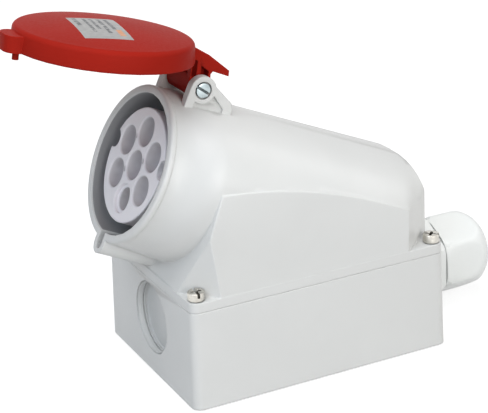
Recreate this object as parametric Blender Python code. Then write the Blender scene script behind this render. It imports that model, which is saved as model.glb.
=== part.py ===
"""Industrial wall socket: a surface box with a tilted round collar, seven contacts, a sprung red lid and a cable gland.

Metres, +Z out of the wall, +Y towards the cable gland, +X across. The origin is the centre of the back face.
"""

import math

import bpy
import bmesh
import numpy as np
from mathutils import Matrix, Vector

# Clearances
FIT = 0.0003            # gap where pieces seat on or pass through each other
PART_LINE = 0.0003      # gap between the rims of the box and the cover
INSIDE_STEP = 0.0001    # step between the cover's foot and the walls above it

# Base box
BOX_WIDTH = 0.0857
BOX_LENGTH = 0.1167
BOX_HEIGHT = 0.0410
BOX_WALL = 0.0036
BOX_FLOOR = 0.0030
BOX_CORNER = 0.0040
DRAFT = 0.022           # lean of the outer walls, metre per metre of height
WALL_HOLE_RADIUS = 0.0023
WALL_HOLE_INSET_X = 0.0135
WALL_HOLE_INSET_Y = 0.0180

# Cover screws and their threaded inserts
SCREW_INSET_X = 0.0041
SCREW_INSET_Y = 0.0041
SCREW_HEAD_RADIUS = 0.0034
SCREW_HEAD_HEIGHT = 0.0034
SCREW_SHANK_RADIUS = 0.0019
SCREW_DEPTH = 0.0080
THREAD_INSERT_RADIUS = 0.0027
THREAD_INSERT_LENGTH = 0.0090

# Rim gasket, laid inside the screws
GROOVE_INSET = 0.0009
GROOVE_WIDTH = 0.0018
GROOVE_DEPTH = 0.0012
GROOVE_FROM_SCREW = 0.0034

# Knock-out for a second gland, in the front wall
KNOCKOUT_X = 0.0020
KNOCKOUT_Z = 0.0242
KNOCKOUT_RADIUS = 0.0152
KNOCKOUT_DEPTH = 0.0050
KNOCKOUT_THREAD = 0.0008
KNOCKOUT_TURNS = 3
KNOCKOUT_BOSS_WALL = 0.0022
KNOCKOUT_SKIN = 0.0016

# Cover shell
COVER_FOOT = 0.0041     # thickness of the foot that carries the corner shelves
COVER_WALL = 0.0028
FRONT_WALL_TOP_Y = -0.0415
FRONT_WALL_TOP_Z = 0.0870
FRONT_WALL_STEP = 0.0004
SIDE_END_Y = 0.0398
SIDE_END_Z = 0.0640
SIDE_SAG = 0.0045
SIDE_BEAD = 0.0003       # drop of the walls' top below the line where they meet the hood
SIDE_LEDGE = 0.0008      # how far the walls stand out from the hood along that line
FRONT_SHELF_X = 0.0145
FRONT_SHELF_Y = 0.0130
FRONT_SHELF_LEAN = 0.079
REAR_SHELF_X = 0.0149
REAR_SHELF_Y = 0.0173

# Collar and hood
COLLAR_TILT = math.radians(25.84)
COLLAR_Y = -0.06244
COLLAR_Z = 0.09143
COLLAR_RADIUS = 0.0321
COLLAR_BORE = 0.0290
COLLAR_DEPTH = 0.0360
COLLAR_FLOOR = 0.0040
COLLAR_EDGE = 0.0009
CROWN_RISE = 0.036
KEEL_RISE = 0.080
FLARE_START = 0.0030
FLARE_END = 0.0208
SHOULDER_LEVEL = 0.0050
SHOULDER_DROP = 0.0240   # length over which the shoulder sinks back to the axis
SHOULDER_BEND = 2.2     # power of the arch between the shoulders, 2 for an ellipse
REAR_HALF = 0.0350
REAR_BEND = 2.6
REAR_ROUND = 0.0160     # length over which the hood narrows at its rear end
HOOD_REACH = 0.1400
KEYWAY_HALF = 0.00225
KEYWAY_REACH = 0.0361
KEYWAY_WALL = 0.0020
KEYWAY_LENGTH = 0.0300
KEYWAY_DEPTH = 0.0240

# Hinge
HINGE_BEHIND_RIM = 0.0125
HINGE_FROM_AXIS = 0.0377
EAR_OUTER = 0.0140
EAR_THICKNESS = 0.0036
EAR_RADIUS = 0.0056
EAR_FOOT = 0.0295
EAR_REAR = 0.0150
EAR_REAR_LEVEL = 0.0338
EAR_STRUT = 0.0028
EAR_POCKET = 0.0013
EAR_WEB_FOOT = 0.0304
EAR_WEB_RISE = 0.0008
EAR_LEG = 0.0036
PIN_RADIUS = 0.0020
PIN_HEAD_RADIUS = 0.0030
PIN_HEAD_LENGTH = 0.0014
PIN_SLOT_TURN = 142
SPRING_WIRE = 0.00045
SPRING_TURNS = 6
SPRING_RADIUS = 0.0031

# Lid, in its own frame: out from the hinge towards the middle, and up to the outer face
LID_REST = math.radians(10.8)
LID_TOP = 0.0194
LID_DOME = 0.0024
LID_PLATE = 0.0024
LID_RADIUS = 0.0353
LID_EDGE = 0.0020
LID_SKIRT_DEPTH = 0.0082
LID_SKIRT_WALL = 0.0022
LID_SKIRT_TAPER = 0.0006
NOSE_REACH = 0.0404
NOSE_HALF = 0.0066
NOSE_DROP = 0.0018
PEG_RADIUS = 0.0013
PEG_LENGTH = 0.0036
NECK_HALF = 0.0101
NECK_FRONT = 0.0045
KNUCKLE_RADIUS = 0.0045
LEVER_REACH = 0.0120
LEVER_TIP = 0.0060
LEVER_TIP_THICKNESS = 0.0023
LEVER_KNEE = 0.0026
LEVER_KNEE_HEIGHT = 0.0132
NECK_REAR = 0.0041
NECK_POCKET_DEPTH = 0.0042
SPRING_SLOT_HALF = 0.0048
SEAL_THICKNESS = 0.0042
SEAL_INNER = 0.0284
SEAL_RIB = 0.0014

# Contact insert
INSERT_RADIUS = 0.0234
INSERT_RECESS = 0.00258
INSERT_FLANGE = 0.0027
INSERT_FLANGE_RADIUS = 0.0290
INSERT_NOTCH_RADIUS = 0.0040
INSERT_NOTCH_ANGLES = (12.0, 168.0)
APERTURE_RADIUS = 0.00605
APERTURE_CIRCLE = 0.01405
APERTURE_DEPTH = 0.0080
EARTH_STEP_DEPTH = 0.0016
EARTH_STEP_RADIUS = 0.0047
OUTER_POLES = 6
SLEEVE_RADIUS = 0.0033
SLEEVE_BORE = 0.0025
EARTH_SLEEVE_RADIUS = 0.0040
EARTH_SLEEVE_BORE = 0.0032
SLEEVE_BORE_DEPTH = 0.0240
TERMINAL_LENGTH = 0.0085
TERMINAL_RADIUS = 0.0046
WIRE_HOLE_RADIUS = 0.0018
BLOCK_RADIUS = 0.0232
BLOCK_THICKNESS = 0.0075
TERMINAL_SCREW_RADIUS = 0.0013
TERMINAL_SCREW_HEAD = 0.0021
INSERT_SCREW_CIRCLE = 0.0264
INSERT_SCREW_RADIUS = 0.0012
INSERT_SCREW_HEAD = 0.0023
INSERT_SCREW_BITE = 0.0026

# Cable gland in the rear wall
GLAND_Z = 0.0194
GLAND_THREAD_RADIUS = 0.0125
GLAND_BORE = 0.0090
GLAND_BOSS_RADIUS = 0.0180
GLAND_BOSS_REACH = 0.00765
GLAND_WASHER = 0.0015
GLAND_HEX_RADIUS = 0.0184
GLAND_FLANGE = 0.0072
GLAND_SPLIT = 0.0009
GLAND_NUT_LENGTH = 0.0245
GLAND_DOME_RADIUS = 0.0100
GLAND_SEAL_LENGTH = 0.0060
GLAND_SEAL_RADIUS = 0.0110
GLAND_TUBE_TAIL = 0.0135
LOCKNUT_RADIUS = 0.0158
LOCKNUT_LENGTH = 0.0052

# Sides of round pieces
SMALL_STEPS = 12
ROUND_STEPS = 16
LARGE_STEPS = 32
HOOD_STEPS = 44


# Meshes

def new_solid(name, verts, faces):
    """A closed mesh object with its faces turned outwards."""
    mesh = bpy.data.meshes.new(name)
    mesh.from_pydata([tuple(v) for v in verts], [], faces)
    bm = bmesh.new()
    bm.from_mesh(mesh)
    bmesh.ops.recalc_face_normals(bm, faces=bm.faces)
    bm.to_mesh(mesh)
    bm.free()
    obj = bpy.data.objects.new(name, mesh)
    bpy.context.scene.collection.objects.link(obj)
    return obj


def loft(rings, name="work"):
    """Skin closed rings of equal point counts, with a flat cap on the first and the last."""
    count = len(rings[0])
    verts = [point for ring in rings for point in ring]
    faces = [list(range(count))[::-1], list(range(len(verts) - count, len(verts)))]
    for row in range(len(rings) - 1):
        low = row * count
        for i in range(count):
            j = (i + 1) % count
            faces.append([low + i, low + j, low + count + j, low + count + i])
    return new_solid(name, verts, faces)


def prism(outline, low, high, name="work"):
    """Extrude an outline of (x, y) points along Z."""
    return loft([[(x, y, z) for x, y in outline] for z in (low, high)], name)


def prism_x(outline, low, high, name="work"):
    """Extrude an outline of (y, z) points along X."""
    return loft([[(x, y, z) for y, z in outline] for x in (low, high)], name)


def lathe(profile, steps=ROUND_STEPS, name="work"):
    """Spin (radius, height) points about Z. The outline closes itself off the axis, or ends on the axis."""
    bm = bmesh.new()
    verts = [bm.verts.new((radius, 0.0, height)) for radius, height in profile]
    edges = [bm.edges.new(pair) for pair in zip(verts, verts[1:])]
    if min(radius for radius, _ in profile) > 1e-9:
        edges.append(bm.edges.new((verts[-1], verts[0])))
    bmesh.ops.spin(bm, geom=verts + edges, cent=(0, 0, 0), axis=(0, 0, 1), angle=math.tau, steps=steps, use_merge=True)
    bmesh.ops.remove_doubles(bm, verts=bm.verts, dist=1e-7)
    centres = [v for v in bm.verts if math.hypot(v.co.x, v.co.y) < 1e-7]
    flat = [v for v in centres if all(abs(e.other_vert(v).co.z - v.co.z) < 1e-7 for e in v.link_edges)]
    bmesh.ops.dissolve_verts(bm, verts=flat)
    bmesh.ops.recalc_face_normals(bm, faces=bm.faces)
    mesh = bpy.data.meshes.new(name)
    bm.to_mesh(mesh)
    bm.free()
    obj = bpy.data.objects.new(name, mesh)
    bpy.context.scene.collection.objects.link(obj)
    return obj


def cylinder(radius, low, high, steps=ROUND_STEPS):
    """A solid cylinder on the Z axis."""
    return lathe([(0, low), (radius, low), (radius, high), (0, high)], steps)


def hexagon(corner_radius, low, high):
    """A hexagonal prism on the Z axis with a corner on the Y axis."""
    turns = [math.radians(90 + 60 * k) for k in range(6)]
    return prism([(corner_radius * math.cos(t), corner_radius * math.sin(t)) for t in turns], low, high)


def frame_ring(outer, inner, low, high):
    """A flat ring between two outlines of equal point counts."""
    count = len(outer)
    rows = [(outer, low), (outer, high), (inner, high), (inner, low)]
    verts = [(x, y, z) for outline, z in rows for x, y in outline]
    faces = []
    for row in range(4):
        here, there = row * count, (row + 1) % 4 * count
        for i in range(count):
            j = (i + 1) % count
            faces.append([here + i, here + j, there + j, there + i])
    return new_solid("work", verts, faces)


def placed(obj, matrix):
    """Move a solid's mesh by a matrix."""
    obj.data.transform(matrix)
    if matrix.determinant() < 0:
        obj.data.flip_normals()
    obj.data.update()
    return obj


def moved(obj, x=0.0, y=0.0, z=0.0):
    """Move a solid's mesh."""
    return placed(obj, Matrix.Translation((x, y, z)))


def boolean(target, tool, operation):
    """Apply one Boolean to the target and remove the tool."""
    modifier = target.modifiers.new(operation.lower(), "BOOLEAN")
    modifier.operation = operation
    modifier.solver = "EXACT"
    modifier.object = tool
    graph = bpy.context.evaluated_depsgraph_get()
    result = bpy.data.meshes.new_from_object(target.evaluated_get(graph))
    target.modifiers.clear()
    target.data = result
    bpy.data.objects.remove(tool)
    return target


def cut(target, *tools):
    """Subtract each tool."""
    for tool in tools:
        boolean(target, tool, "DIFFERENCE")
    return target


def join(target, *tools):
    """Add each tool."""
    for tool in tools:
        boolean(target, tool, "UNION")
    return target


def common(target, tool):
    """Keep what both solids share."""
    return boolean(target, tool, "INTERSECT")


def arc(centre, radius, start, end, steps):
    """Points on an arc, angles in degrees."""
    angles = [math.radians(start + (end - start) * k / steps) for k in range(steps + 1)]
    return [(centre[0] + radius * math.cos(a), centre[1] + radius * math.sin(a)) for a in angles]


def finish(obj, name, material, parent=None, sharp_degrees=32.0):
    """Name a solid, give it its material and shade its round faces smooth."""
    obj.name = name
    obj.data.name = name
    obj.data.materials.clear()
    obj.data.materials.append(material)
    obj.data.polygons.foreach_set("use_smooth", [True] * len(obj.data.polygons))
    obj.data.set_sharp_from_angle(angle=math.radians(sharp_degrees))
    obj.data.update()
    if parent is not None:
        obj.parent = parent
    return obj


def make_material(name, colour, roughness, metallic=0.0):
    """A Principled material."""
    material = bpy.data.materials.new(name)
    material.use_nodes = True
    shader = material.node_tree.nodes["Principled BSDF"]
    shader.inputs["Base Color"].default_value = (*colour, 1.0)
    shader.inputs["Roughness"].default_value = roughness
    shader.inputs["Metallic"].default_value = metallic
    return material


def make_empty(name, matrix):
    """An empty that carries the pieces of one frame."""
    empty = bpy.data.objects.new(name, None)
    empty.matrix_world = matrix
    bpy.context.scene.collection.objects.link(empty)
    return empty


# Frames and shared places

def collar_matrix():
    """Frame of the collar: Z out along its axis, Y up across it, origin at the middle of the rim."""
    turn = Matrix.Rotation(math.pi / 2 - COLLAR_TILT, 4, "X")
    return Matrix.Translation((0.0, COLLAR_Y, COLLAR_Z)) @ turn


def hinge_place():
    """World place of the hinge axis at X = 0."""
    return collar_matrix() @ Vector((0.0, HINGE_FROM_AXIS, -HINGE_BEHIND_RIM))


def lid_matrix():
    """Frame of the lid: Y from its middle towards the hinge and beyond, Z out of its face, at rest."""
    return Matrix.Translation(hinge_place()) @ Matrix.Rotation(-LID_REST, 4, "X")


def gland_matrix():
    """Frame of the gland: Z along +Y of the world, origin on the gland's axis at Y = 0, Y up."""
    turn = Matrix(((-1, 0, 0, 0), (0, 0, 1, 0), (0, 1, 0, 0), (0, 0, 0, 1)))
    return Matrix.Translation((0.0, 0.0, GLAND_Z)) @ turn


def half_sizes(z):
    """Half width and half length of the outer walls at a height."""
    return BOX_WIDTH / 2 - DRAFT * z, BOX_LENGTH / 2 - DRAFT * z


def screw_places():
    """Places of the four cover screws."""
    half_x, half_y = half_sizes(BOX_HEIGHT)
    x, y = half_x - SCREW_INSET_X, half_y - SCREW_INSET_Y
    return [(x, -y), (x, y), (-x, y), (-x, -y)]


def rounded_rectangle(half_x, half_y, radius, steps=5):
    """Outline with round corners."""
    points = []
    for sign_x, sign_y, start in ((1, 1, 0), (-1, 1, 90), (-1, -1, 180), (1, -1, 270)):
        centre = (sign_x * (half_x - radius), sign_y * (half_y - radius))
        points += arc(centre, radius, start, start + 90, steps)
    return points


def corner_cut_outline(inset, from_screw, z):
    """Outline inside the walls whose corners are cut off on the inner side of the screws."""
    half_x, half_y = (half - inset for half in half_sizes(z))
    screw_x, screw_y = screw_places()[1]
    chamfer = half_x + half_y - (screw_x + screw_y - math.sqrt(2) * from_screw)
    points = []
    for sign_x, sign_y in ((1, 1), (-1, 1), (-1, -1), (1, -1)):
        ends = [(half_x, half_y - chamfer), (half_x - chamfer, half_y)]
        if sign_x != sign_y:
            ends.reverse()
        points += [(sign_x * x, sign_y * y) for x, y in ends]
    return points


def cover_bottom():
    """Height of the cover's underside."""
    return BOX_HEIGHT + PART_LINE


def shelf_level():
    """Height of the four corner shelves."""
    return cover_bottom() + COVER_FOOT


# Base box

def gland_boss_end():
    """Place of the boss's face along the gland's axis."""
    return BOX_LENGTH / 2 + GLAND_BOSS_REACH


def knockout_tools():
    """The boss kept behind the knock-out, and the threaded recess cut into it, both on the front wall."""
    wall_y = -half_sizes(KNOCKOUT_Z)[1]
    bottom = wall_y + KNOCKOUT_DEPTH
    turn = Matrix.Rotation(math.pi / 2, 4, "X")
    place = Matrix.Translation((KNOCKOUT_X, 0.0, KNOCKOUT_Z)) @ turn
    boss = cylinder(KNOCKOUT_RADIUS + KNOCKOUT_BOSS_WALL, -bottom - KNOCKOUT_SKIN, BOX_LENGTH, ROUND_STEPS)
    pitch = KNOCKOUT_DEPTH / (KNOCKOUT_TURNS + 1)
    profile = [(0, -bottom), (KNOCKOUT_RADIUS - KNOCKOUT_THREAD, -bottom)]
    for turn_index in range(KNOCKOUT_TURNS):
        height = -bottom + pitch * (turn_index + 0.5)
        profile += [(KNOCKOUT_RADIUS - KNOCKOUT_THREAD, height), (KNOCKOUT_RADIUS, height + pitch / 2)]
    profile += [(KNOCKOUT_RADIUS, BOX_LENGTH), (0, BOX_LENGTH)]
    return placed(boss, place), placed(lathe(profile, LARGE_STEPS), place)


def make_base_box():
    """Open box with cut-off inner corners, a gasket groove, a threaded knock-out and a boss for the gland."""
    outer = [rounded_rectangle(*half_sizes(z), BOX_CORNER) for z in (0, BOX_HEIGHT)]
    box = loft([[(x, y, z) for x, y in ring] for ring, z in zip(outer, (0, BOX_HEIGHT))])
    from_screw = GROOVE_FROM_SCREW + GROOVE_WIDTH + GROOVE_INSET
    levels = (BOX_FLOOR, BOX_HEIGHT + BOX_WALL)
    inside = [[(x, y, z) for x, y in corner_cut_outline(BOX_WALL, from_screw, z)] for z in levels]
    boss, recess = knockout_tools()
    cut(box, cut(loft(inside), boss), recess)
    join(box, placed(cylinder(GLAND_BOSS_RADIUS, BOX_LENGTH / 2 - BOX_WALL / 2, gland_boss_end(), ROUND_STEPS), gland_matrix()))
    bore = cylinder(GLAND_THREAD_RADIUS + FIT, BOX_LENGTH / 2 - 3 * BOX_WALL, gland_boss_end() + BOX_WALL, ROUND_STEPS)
    cut(box, placed(bore, gland_matrix()))
    bottom = BOX_HEIGHT - GROOVE_DEPTH
    outlines = [
        corner_cut_outline(GROOVE_INSET, GROOVE_FROM_SCREW, BOX_HEIGHT),
        corner_cut_outline(GROOVE_INSET + GROOVE_WIDTH, GROOVE_FROM_SCREW + GROOVE_WIDTH, BOX_HEIGHT),
    ]
    cut(box, frame_ring(*outlines, bottom, BOX_HEIGHT + BOX_WALL))
    pocket_bottom = BOX_HEIGHT - THREAD_INSERT_LENGTH - FIT
    for x, y in screw_places():
        cut(box, moved(cylinder(THREAD_INSERT_RADIUS + FIT, pocket_bottom, BOX_HEIGHT + BOX_WALL, 16), x, y))
    half_x, half_y = half_sizes(0)
    for sign_x, sign_y in ((1, 1), (1, -1), (-1, 1), (-1, -1)):
        place = (sign_x * (half_x - WALL_HOLE_INSET_X), sign_y * (half_y - WALL_HOLE_INSET_Y))
        cut(box, moved(cylinder(WALL_HOLE_RADIUS, -BOX_FLOOR, 2 * BOX_FLOOR, 16), *place))
    return box


def make_rim_gasket():
    """Rubber ring in the groove of the box's rim."""
    outlines = [
        corner_cut_outline(GROOVE_INSET + FIT, GROOVE_FROM_SCREW + FIT, BOX_HEIGHT),
        corner_cut_outline(GROOVE_INSET + GROOVE_WIDTH - FIT, GROOVE_FROM_SCREW + GROOVE_WIDTH - FIT, BOX_HEIGHT),
    ]
    return frame_ring(*outlines, BOX_HEIGHT - GROOVE_DEPTH + FIT, cover_bottom() - FIT)


# Cover

def side_edge(steps=10):
    """The top edge of a side wall as (y, z) points, bowed upwards, with a straight run past its rear end."""
    points = []
    for k in range(steps + 1):
        t = k / steps
        y = FRONT_WALL_TOP_Y + (SIDE_END_Y - FRONT_WALL_TOP_Y) * t
        z = FRONT_WALL_TOP_Z + (SIDE_END_Z - FRONT_WALL_TOP_Z) * t + 4 * SIDE_SAG * t * (1 - t)
        points.append((y, z))
    (y0, z0), (y1, z1) = points[-2:]
    run = BOX_LENGTH / 2 + BOX_WALL - y1
    points.append((y1 + run, z1 + run * (z1 - z0) / (y1 - y0)))
    return points


def in_collar(y, z):
    """Depth behind the rim plane and level across the collar of a world (y, z) point."""
    point = collar_matrix().inverted() @ Vector((0.0, y, z))
    return -point.z, point.y


def ease(x):
    """Smooth step from 0 to 1."""
    x = min(max(x, 0.0), 1.0)
    return x * x * (3 - 2 * x)


def rear_round_start():
    """Depth at which the hood starts to narrow: the rear end of the side walls' top edge."""
    return in_collar(SIDE_END_Y, SIDE_END_Z)[0]


def shoulder_level(depth):
    """Level across the collar of the hood's widest place, before it grows out of the round collar."""
    return SHOULDER_LEVEL * (1 - ease((depth - FLARE_END) / SHOULDER_DROP))


def shoulder_half(depth, crown):
    """Half width that takes the hood's arch through the top edge of the side walls."""
    places = [(*in_collar(y, z), z) for y, z in side_edge()[:-1]]
    depths, levels, heights = zip(*places)
    wall = half_sizes(float(np.interp(depth, depths, heights)))[0] - SIDE_LEDGE
    level = shoulder_level(depth)
    share = (float(np.interp(depth, depths, levels)) - level) / (crown - level)
    return wall / (1 - max(share, 0.0) ** SHOULDER_BEND) ** (1 / SHOULDER_BEND)


def hood_section(depth, inset, steps):
    """One closed ring of the hood at a depth behind the rim: a round arch on top and a half ellipse below."""
    grown = ease((depth - FLARE_START) / (FLARE_END - FLARE_START))
    narrowed = ease((depth - rear_round_start()) / REAR_ROUND)
    crown = COLLAR_RADIUS + CROWN_RISE * depth
    keel = -COLLAR_RADIUS - KEEL_RISE * min(depth, KEYWAY_LENGTH)
    side = shoulder_level(depth) * grown
    half = COLLAR_RADIUS + (shoulder_half(depth, crown) - COLLAR_RADIUS) * grown
    half += (REAR_HALF - half) * narrowed
    bend = 2.0 + (SHOULDER_BEND - 2.0) * grown
    power = 2.0 / (bend + (REAR_BEND - bend) * narrowed)
    ring = []
    for k in range(steps):
        turn = math.tau * k / steps
        across, up = math.sin(turn), math.cos(turn)
        height = crown - side if up > 0 else side - keel
        bend = power if up > 0 else 1.0
        x = (half - inset) * math.copysign(abs(across) ** bend, across)
        y = side + (height - inset) * math.copysign(abs(up) ** bend, up)
        ring.append(collar_matrix() @ Vector((x, y, -depth)))
    return ring


def make_hood(inset, start):
    """The lofted hood, from a depth behind the rim to past the rear wall."""
    front = np.linspace(FLARE_START, FLARE_END, 6)
    middle = np.linspace(FLARE_END, rear_round_start(), 7)[1:]
    rear = rear_round_start() + REAR_ROUND * np.array([0.25, 0.5, 0.75, 1.0])
    stops = [float(stop) for stop in (*front, *middle, *rear)]
    depths = [start] + [stop for stop in stops if stop > start + 0.001] + [HOOD_REACH]
    steps = HOOD_STEPS if start <= 0 else HOOD_STEPS // 2
    rings = [hood_section(depth, inset, steps) for depth in depths]
    if start <= 0:
        rings.insert(0, hood_section(0.0, inset + COLLAR_EDGE, steps))
        rings[1] = hood_section(COLLAR_EDGE, inset, steps)
    return loft(rings)


def body_outline(inset):
    """Side view of the cover's body as (y, z) points: sloping front wall, bowed top, straight rear."""
    shelf_front = -half_sizes(shelf_level())[1] + FRONT_WALL_STEP
    run, rise = FRONT_WALL_TOP_Y - shelf_front, FRONT_WALL_TOP_Z - shelf_level()
    shift = inset * math.hypot(run, rise) / rise
    low = cover_bottom() + (COVER_FOOT / 3 if inset == 0 else -COVER_WALL)
    top = [(y, z - SIDE_BEAD - inset) for y, z in side_edge()]
    front = [(shelf_front + shift, low), (shelf_front + shift, shelf_level())]
    top[0] = (top[0][0] + shift - inset * run / rise, top[0][1])
    return front + top + [(top[-1][0], low)]


def wall_envelope(inset, low):
    """The drafted space between the side walls and before the rear wall, open to the front."""
    rings = []
    for z in (low, 3.5 * BOX_HEIGHT):
        half_x, half_y = (half - INSIDE_STEP - inset for half in half_sizes(z))
        rings.append([(-half_x, -BOX_LENGTH, z), (half_x, -BOX_LENGTH, z), (half_x, half_y, z), (-half_x, half_y, z)])
    return loft(rings)


def corner_tools(side, grow):
    """What is cut away above the two corner shelves of one end, grown towards the middle by a wall."""
    half_x, half_y = half_sizes(shelf_level())
    size_x, size_y, lean = (
        (FRONT_SHELF_X, FRONT_SHELF_Y, FRONT_SHELF_LEAN) if side < 0 else (REAR_SHELF_X, REAR_SHELF_Y, 0.0)
    )
    diagonal = math.hypot(size_x, size_y)
    far = BOX_WIDTH
    tools = []
    for sign in (1, -1):
        rings = []
        for z in (cover_bottom() - COVER_WALL, 3 * BOX_HEIGHT):
            shift = (grow - lean * (z - shelf_level())) * diagonal
            reach_x, reach_y = size_x + shift / size_y, size_y + shift / size_x
            slope = reach_y / reach_x
            corner = (sign * (half_x + far), side * (half_y + far))
            ends = [
                (sign * (half_x - reach_x - far), side * (half_y + far * slope)),
                (sign * (half_x + far), side * (half_y - reach_y - far * slope)),
            ]
            rings.append([(x, y, z) for x, y in (ends[0], ends[1], corner)])
        tools.append(loft(rings))
    return tools


def ear_outline(inset):
    """Side view of a hinge ear as (y, depth) points of the collar's frame, shrunk by an inset."""
    pin = (HINGE_FROM_AXIS, -HINGE_BEHIND_RIM)
    radius = EAR_RADIUS - inset
    rear = -HINGE_BEHIND_RIM - EAR_REAR + inset
    points = [(EAR_FOOT, pin[1] + radius)]
    points += arc(pin, radius, 90, -60, 10)
    return points + [(EAR_REAR_LEVEL + 0.0025 - inset, rear + 0.0015), (EAR_REAR_LEVEL - inset, rear), (EAR_FOOT, rear)]


def collar_x(outline, low, high):
    """Extrude an outline of (y, z) points of the collar's frame along X."""
    return placed(prism_x(outline, low, high), collar_matrix())


def pin_tool():
    """The stepped hole for the hinge pin and its head, on the hinge axis."""
    bore, sink = PIN_RADIUS + FIT, PIN_HEAD_RADIUS + 2 * FIT
    end, head = EAR_OUTER + EAR_THICKNESS, EAR_OUTER - PIN_HEAD_LENGTH - FIT
    tool = lathe([(0, -end), (bore, -end), (bore, head), (sink, head), (sink, end), (0, end)], ROUND_STEPS)
    return placed(placed(tool, Matrix.Rotation(math.pi / 2, 4, "Y")), Matrix.Translation(hinge_place()))


def add_ears(cover):
    """Two hinge ears with a ring round the pin and a sunk web between two struts."""
    inner = EAR_OUTER - EAR_THICKNESS
    pin = (HINGE_FROM_AXIS, -HINGE_BEHIND_RIM)
    ring = EAR_RADIUS - 0.0003
    leg = pin[1] + EAR_RADIUS - EAR_LEG
    for sign in (1, -1):
        ends = sorted((sign * inner, sign * EAR_OUTER))
        join(cover, collar_x(ear_outline(0.0), *ends))
        rear = pin[1] - EAR_REAR + 1.4 * EAR_STRUT
        web = arc(pin, ring, 164, 262, 8) + [(EAR_REAR_LEVEL - EAR_STRUT / 3, rear), (EAR_WEB_FOOT + EAR_WEB_RISE, rear)]
        web += [(EAR_WEB_FOOT, leg), (pin[0] - ring * 0.96, leg)]
        sunk = sorted((sign * (EAR_OUTER - EAR_POCKET), sign * (EAR_OUTER + EAR_POCKET)))
        cut(cover, collar_x(web, *sunk))
    return cut(cover, pin_tool())


def keyway_outline(half, reach):
    """Section of the keyway as (x, y) points of the collar's frame, with a round end away from the axis."""
    centre = (0.0, -(reach - half))
    return [(half, -COLLAR_BORE * 0.9)] + arc(centre, half, 0, -180, 8) + [(-half, -COLLAR_BORE * 0.9)]


def make_cover():
    """The moulded cover: foot with shelves, walls, hood, collar with keyway, and hinge ears, all one hollow piece."""
    body = cut(prism_x(body_outline(0.0), -BOX_WIDTH, BOX_WIDTH), *corner_tools(-1, 0.0))
    join(body, make_hood(0.0, 0.0))
    common(body, wall_envelope(0.0, cover_bottom() + COVER_FOOT / 3))
    cut(body, *corner_tools(1, 0.0))
    levels = (cover_bottom(), shelf_level())
    foot = loft([[(x, y, z) for x, y in rounded_rectangle(*half_sizes(z), BOX_CORNER)] for z in levels])
    cover = join(foot, body)
    ridge = prism(keyway_outline(KEYWAY_HALF + KEYWAY_WALL, KEYWAY_REACH + KEYWAY_WALL), -KEYWAY_LENGTH, 0.0)
    join(cover, placed(ridge, collar_matrix()))

    hollow = cut(prism_x(body_outline(COVER_WALL), -BOX_WIDTH, BOX_WIDTH), *corner_tools(-1, COVER_WALL))
    join(hollow, make_hood(COVER_WALL, COLLAR_DEPTH + COLLAR_FLOOR / 2))
    common(hollow, wall_envelope(COVER_WALL, cover_bottom() - COVER_WALL / 2))
    cut(hollow, *corner_tools(1, COVER_WALL))
    tube_end = -COLLAR_DEPTH - COLLAR_FLOOR
    cut(hollow, placed(cylinder(COLLAR_RADIUS - FIT, tube_end, BOX_HEIGHT, LARGE_STEPS), collar_matrix()))
    cut(cover, hollow)

    bore = cylinder(COLLAR_BORE, -COLLAR_DEPTH, BOX_HEIGHT, LARGE_STEPS)
    opening = cylinder(INSERT_RADIUS + FIT, tube_end - COLLAR_FLOOR, BOX_HEIGHT, LARGE_STEPS)
    slot = prism(keyway_outline(KEYWAY_HALF, KEYWAY_REACH), -KEYWAY_DEPTH, BOX_HEIGHT)
    cut(cover, *(placed(tool, collar_matrix()) for tool in (bore, opening, slot)))
    for x, y in insert_screw_places():
        hole = cylinder(INSERT_SCREW_RADIUS + FIT, tube_end - COLLAR_FLOOR, tube_end + INSERT_SCREW_BITE + FIT, 12)
        cut(cover, placed(moved(hole, x, y), collar_matrix()))
    for x, y in screw_places():
        hole = cylinder(SCREW_SHANK_RADIUS + FIT, cover_bottom() - COVER_FOOT, shelf_level() + COVER_FOOT, 16)
        cut(cover, moved(hole, x, y))
    return add_ears(cover)


# Fasteners

def slotted_screw(head_radius, head_height, shank_radius, shank_length, slot_width, steps=20):
    """A screw on the Z axis whose head rests at zero and rises, with a round head edge and a slot."""
    edge = 0.2 * head_height
    screw = lathe([
        (0, -shank_length), (shank_radius * 0.8, -shank_length), (shank_radius, -shank_length + shank_radius * 0.4),
        (shank_radius, 0), (head_radius, 0), (head_radius, head_height - edge),
        (head_radius - edge, head_height), (0, head_height),
    ], steps)
    half = slot_width / 2
    outline = [(-half, -2 * head_radius), (half, -2 * head_radius), (half, 2 * head_radius), (-half, 2 * head_radius)]
    return cut(screw, prism(outline, head_height * 0.4, head_height * 2))


def make_cover_screw():
    """A cheese-head screw, its head on the shelf."""
    return slotted_screw(
        SCREW_HEAD_RADIUS, SCREW_HEAD_HEIGHT, SCREW_SHANK_RADIUS,
        shelf_level() + FIT - BOX_HEIGHT + SCREW_DEPTH, SCREW_SHANK_RADIUS * 0.6, 16,
    )


def make_thread_insert():
    """A threaded brass bush in a corner of the box, its top just under the rim."""
    bore = SCREW_SHANK_RADIUS + FIT
    bottom = -THREAD_INSERT_LENGTH
    waist = (THREAD_INSERT_RADIUS + bore) / 2
    return lathe([
        (bore, bottom), (THREAD_INSERT_RADIUS, bottom), (THREAD_INSERT_RADIUS, bottom * 0.6), (waist, bottom * 0.5),
        (THREAD_INSERT_RADIUS, bottom * 0.4), (THREAD_INSERT_RADIUS, -FIT), (bore, -FIT),
    ], SMALL_STEPS)


# Contacts

def pole_places():
    """Places of the centre pole and the ring of outer poles, the first outer one towards the keyway for earth."""
    ring = [math.radians(270 + 360 * k / OUTER_POLES) for k in range(OUTER_POLES)]
    return [(0.0, 0.0)] + [(APERTURE_CIRCLE * math.cos(a), APERTURE_CIRCLE * math.sin(a)) for a in ring]


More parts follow.
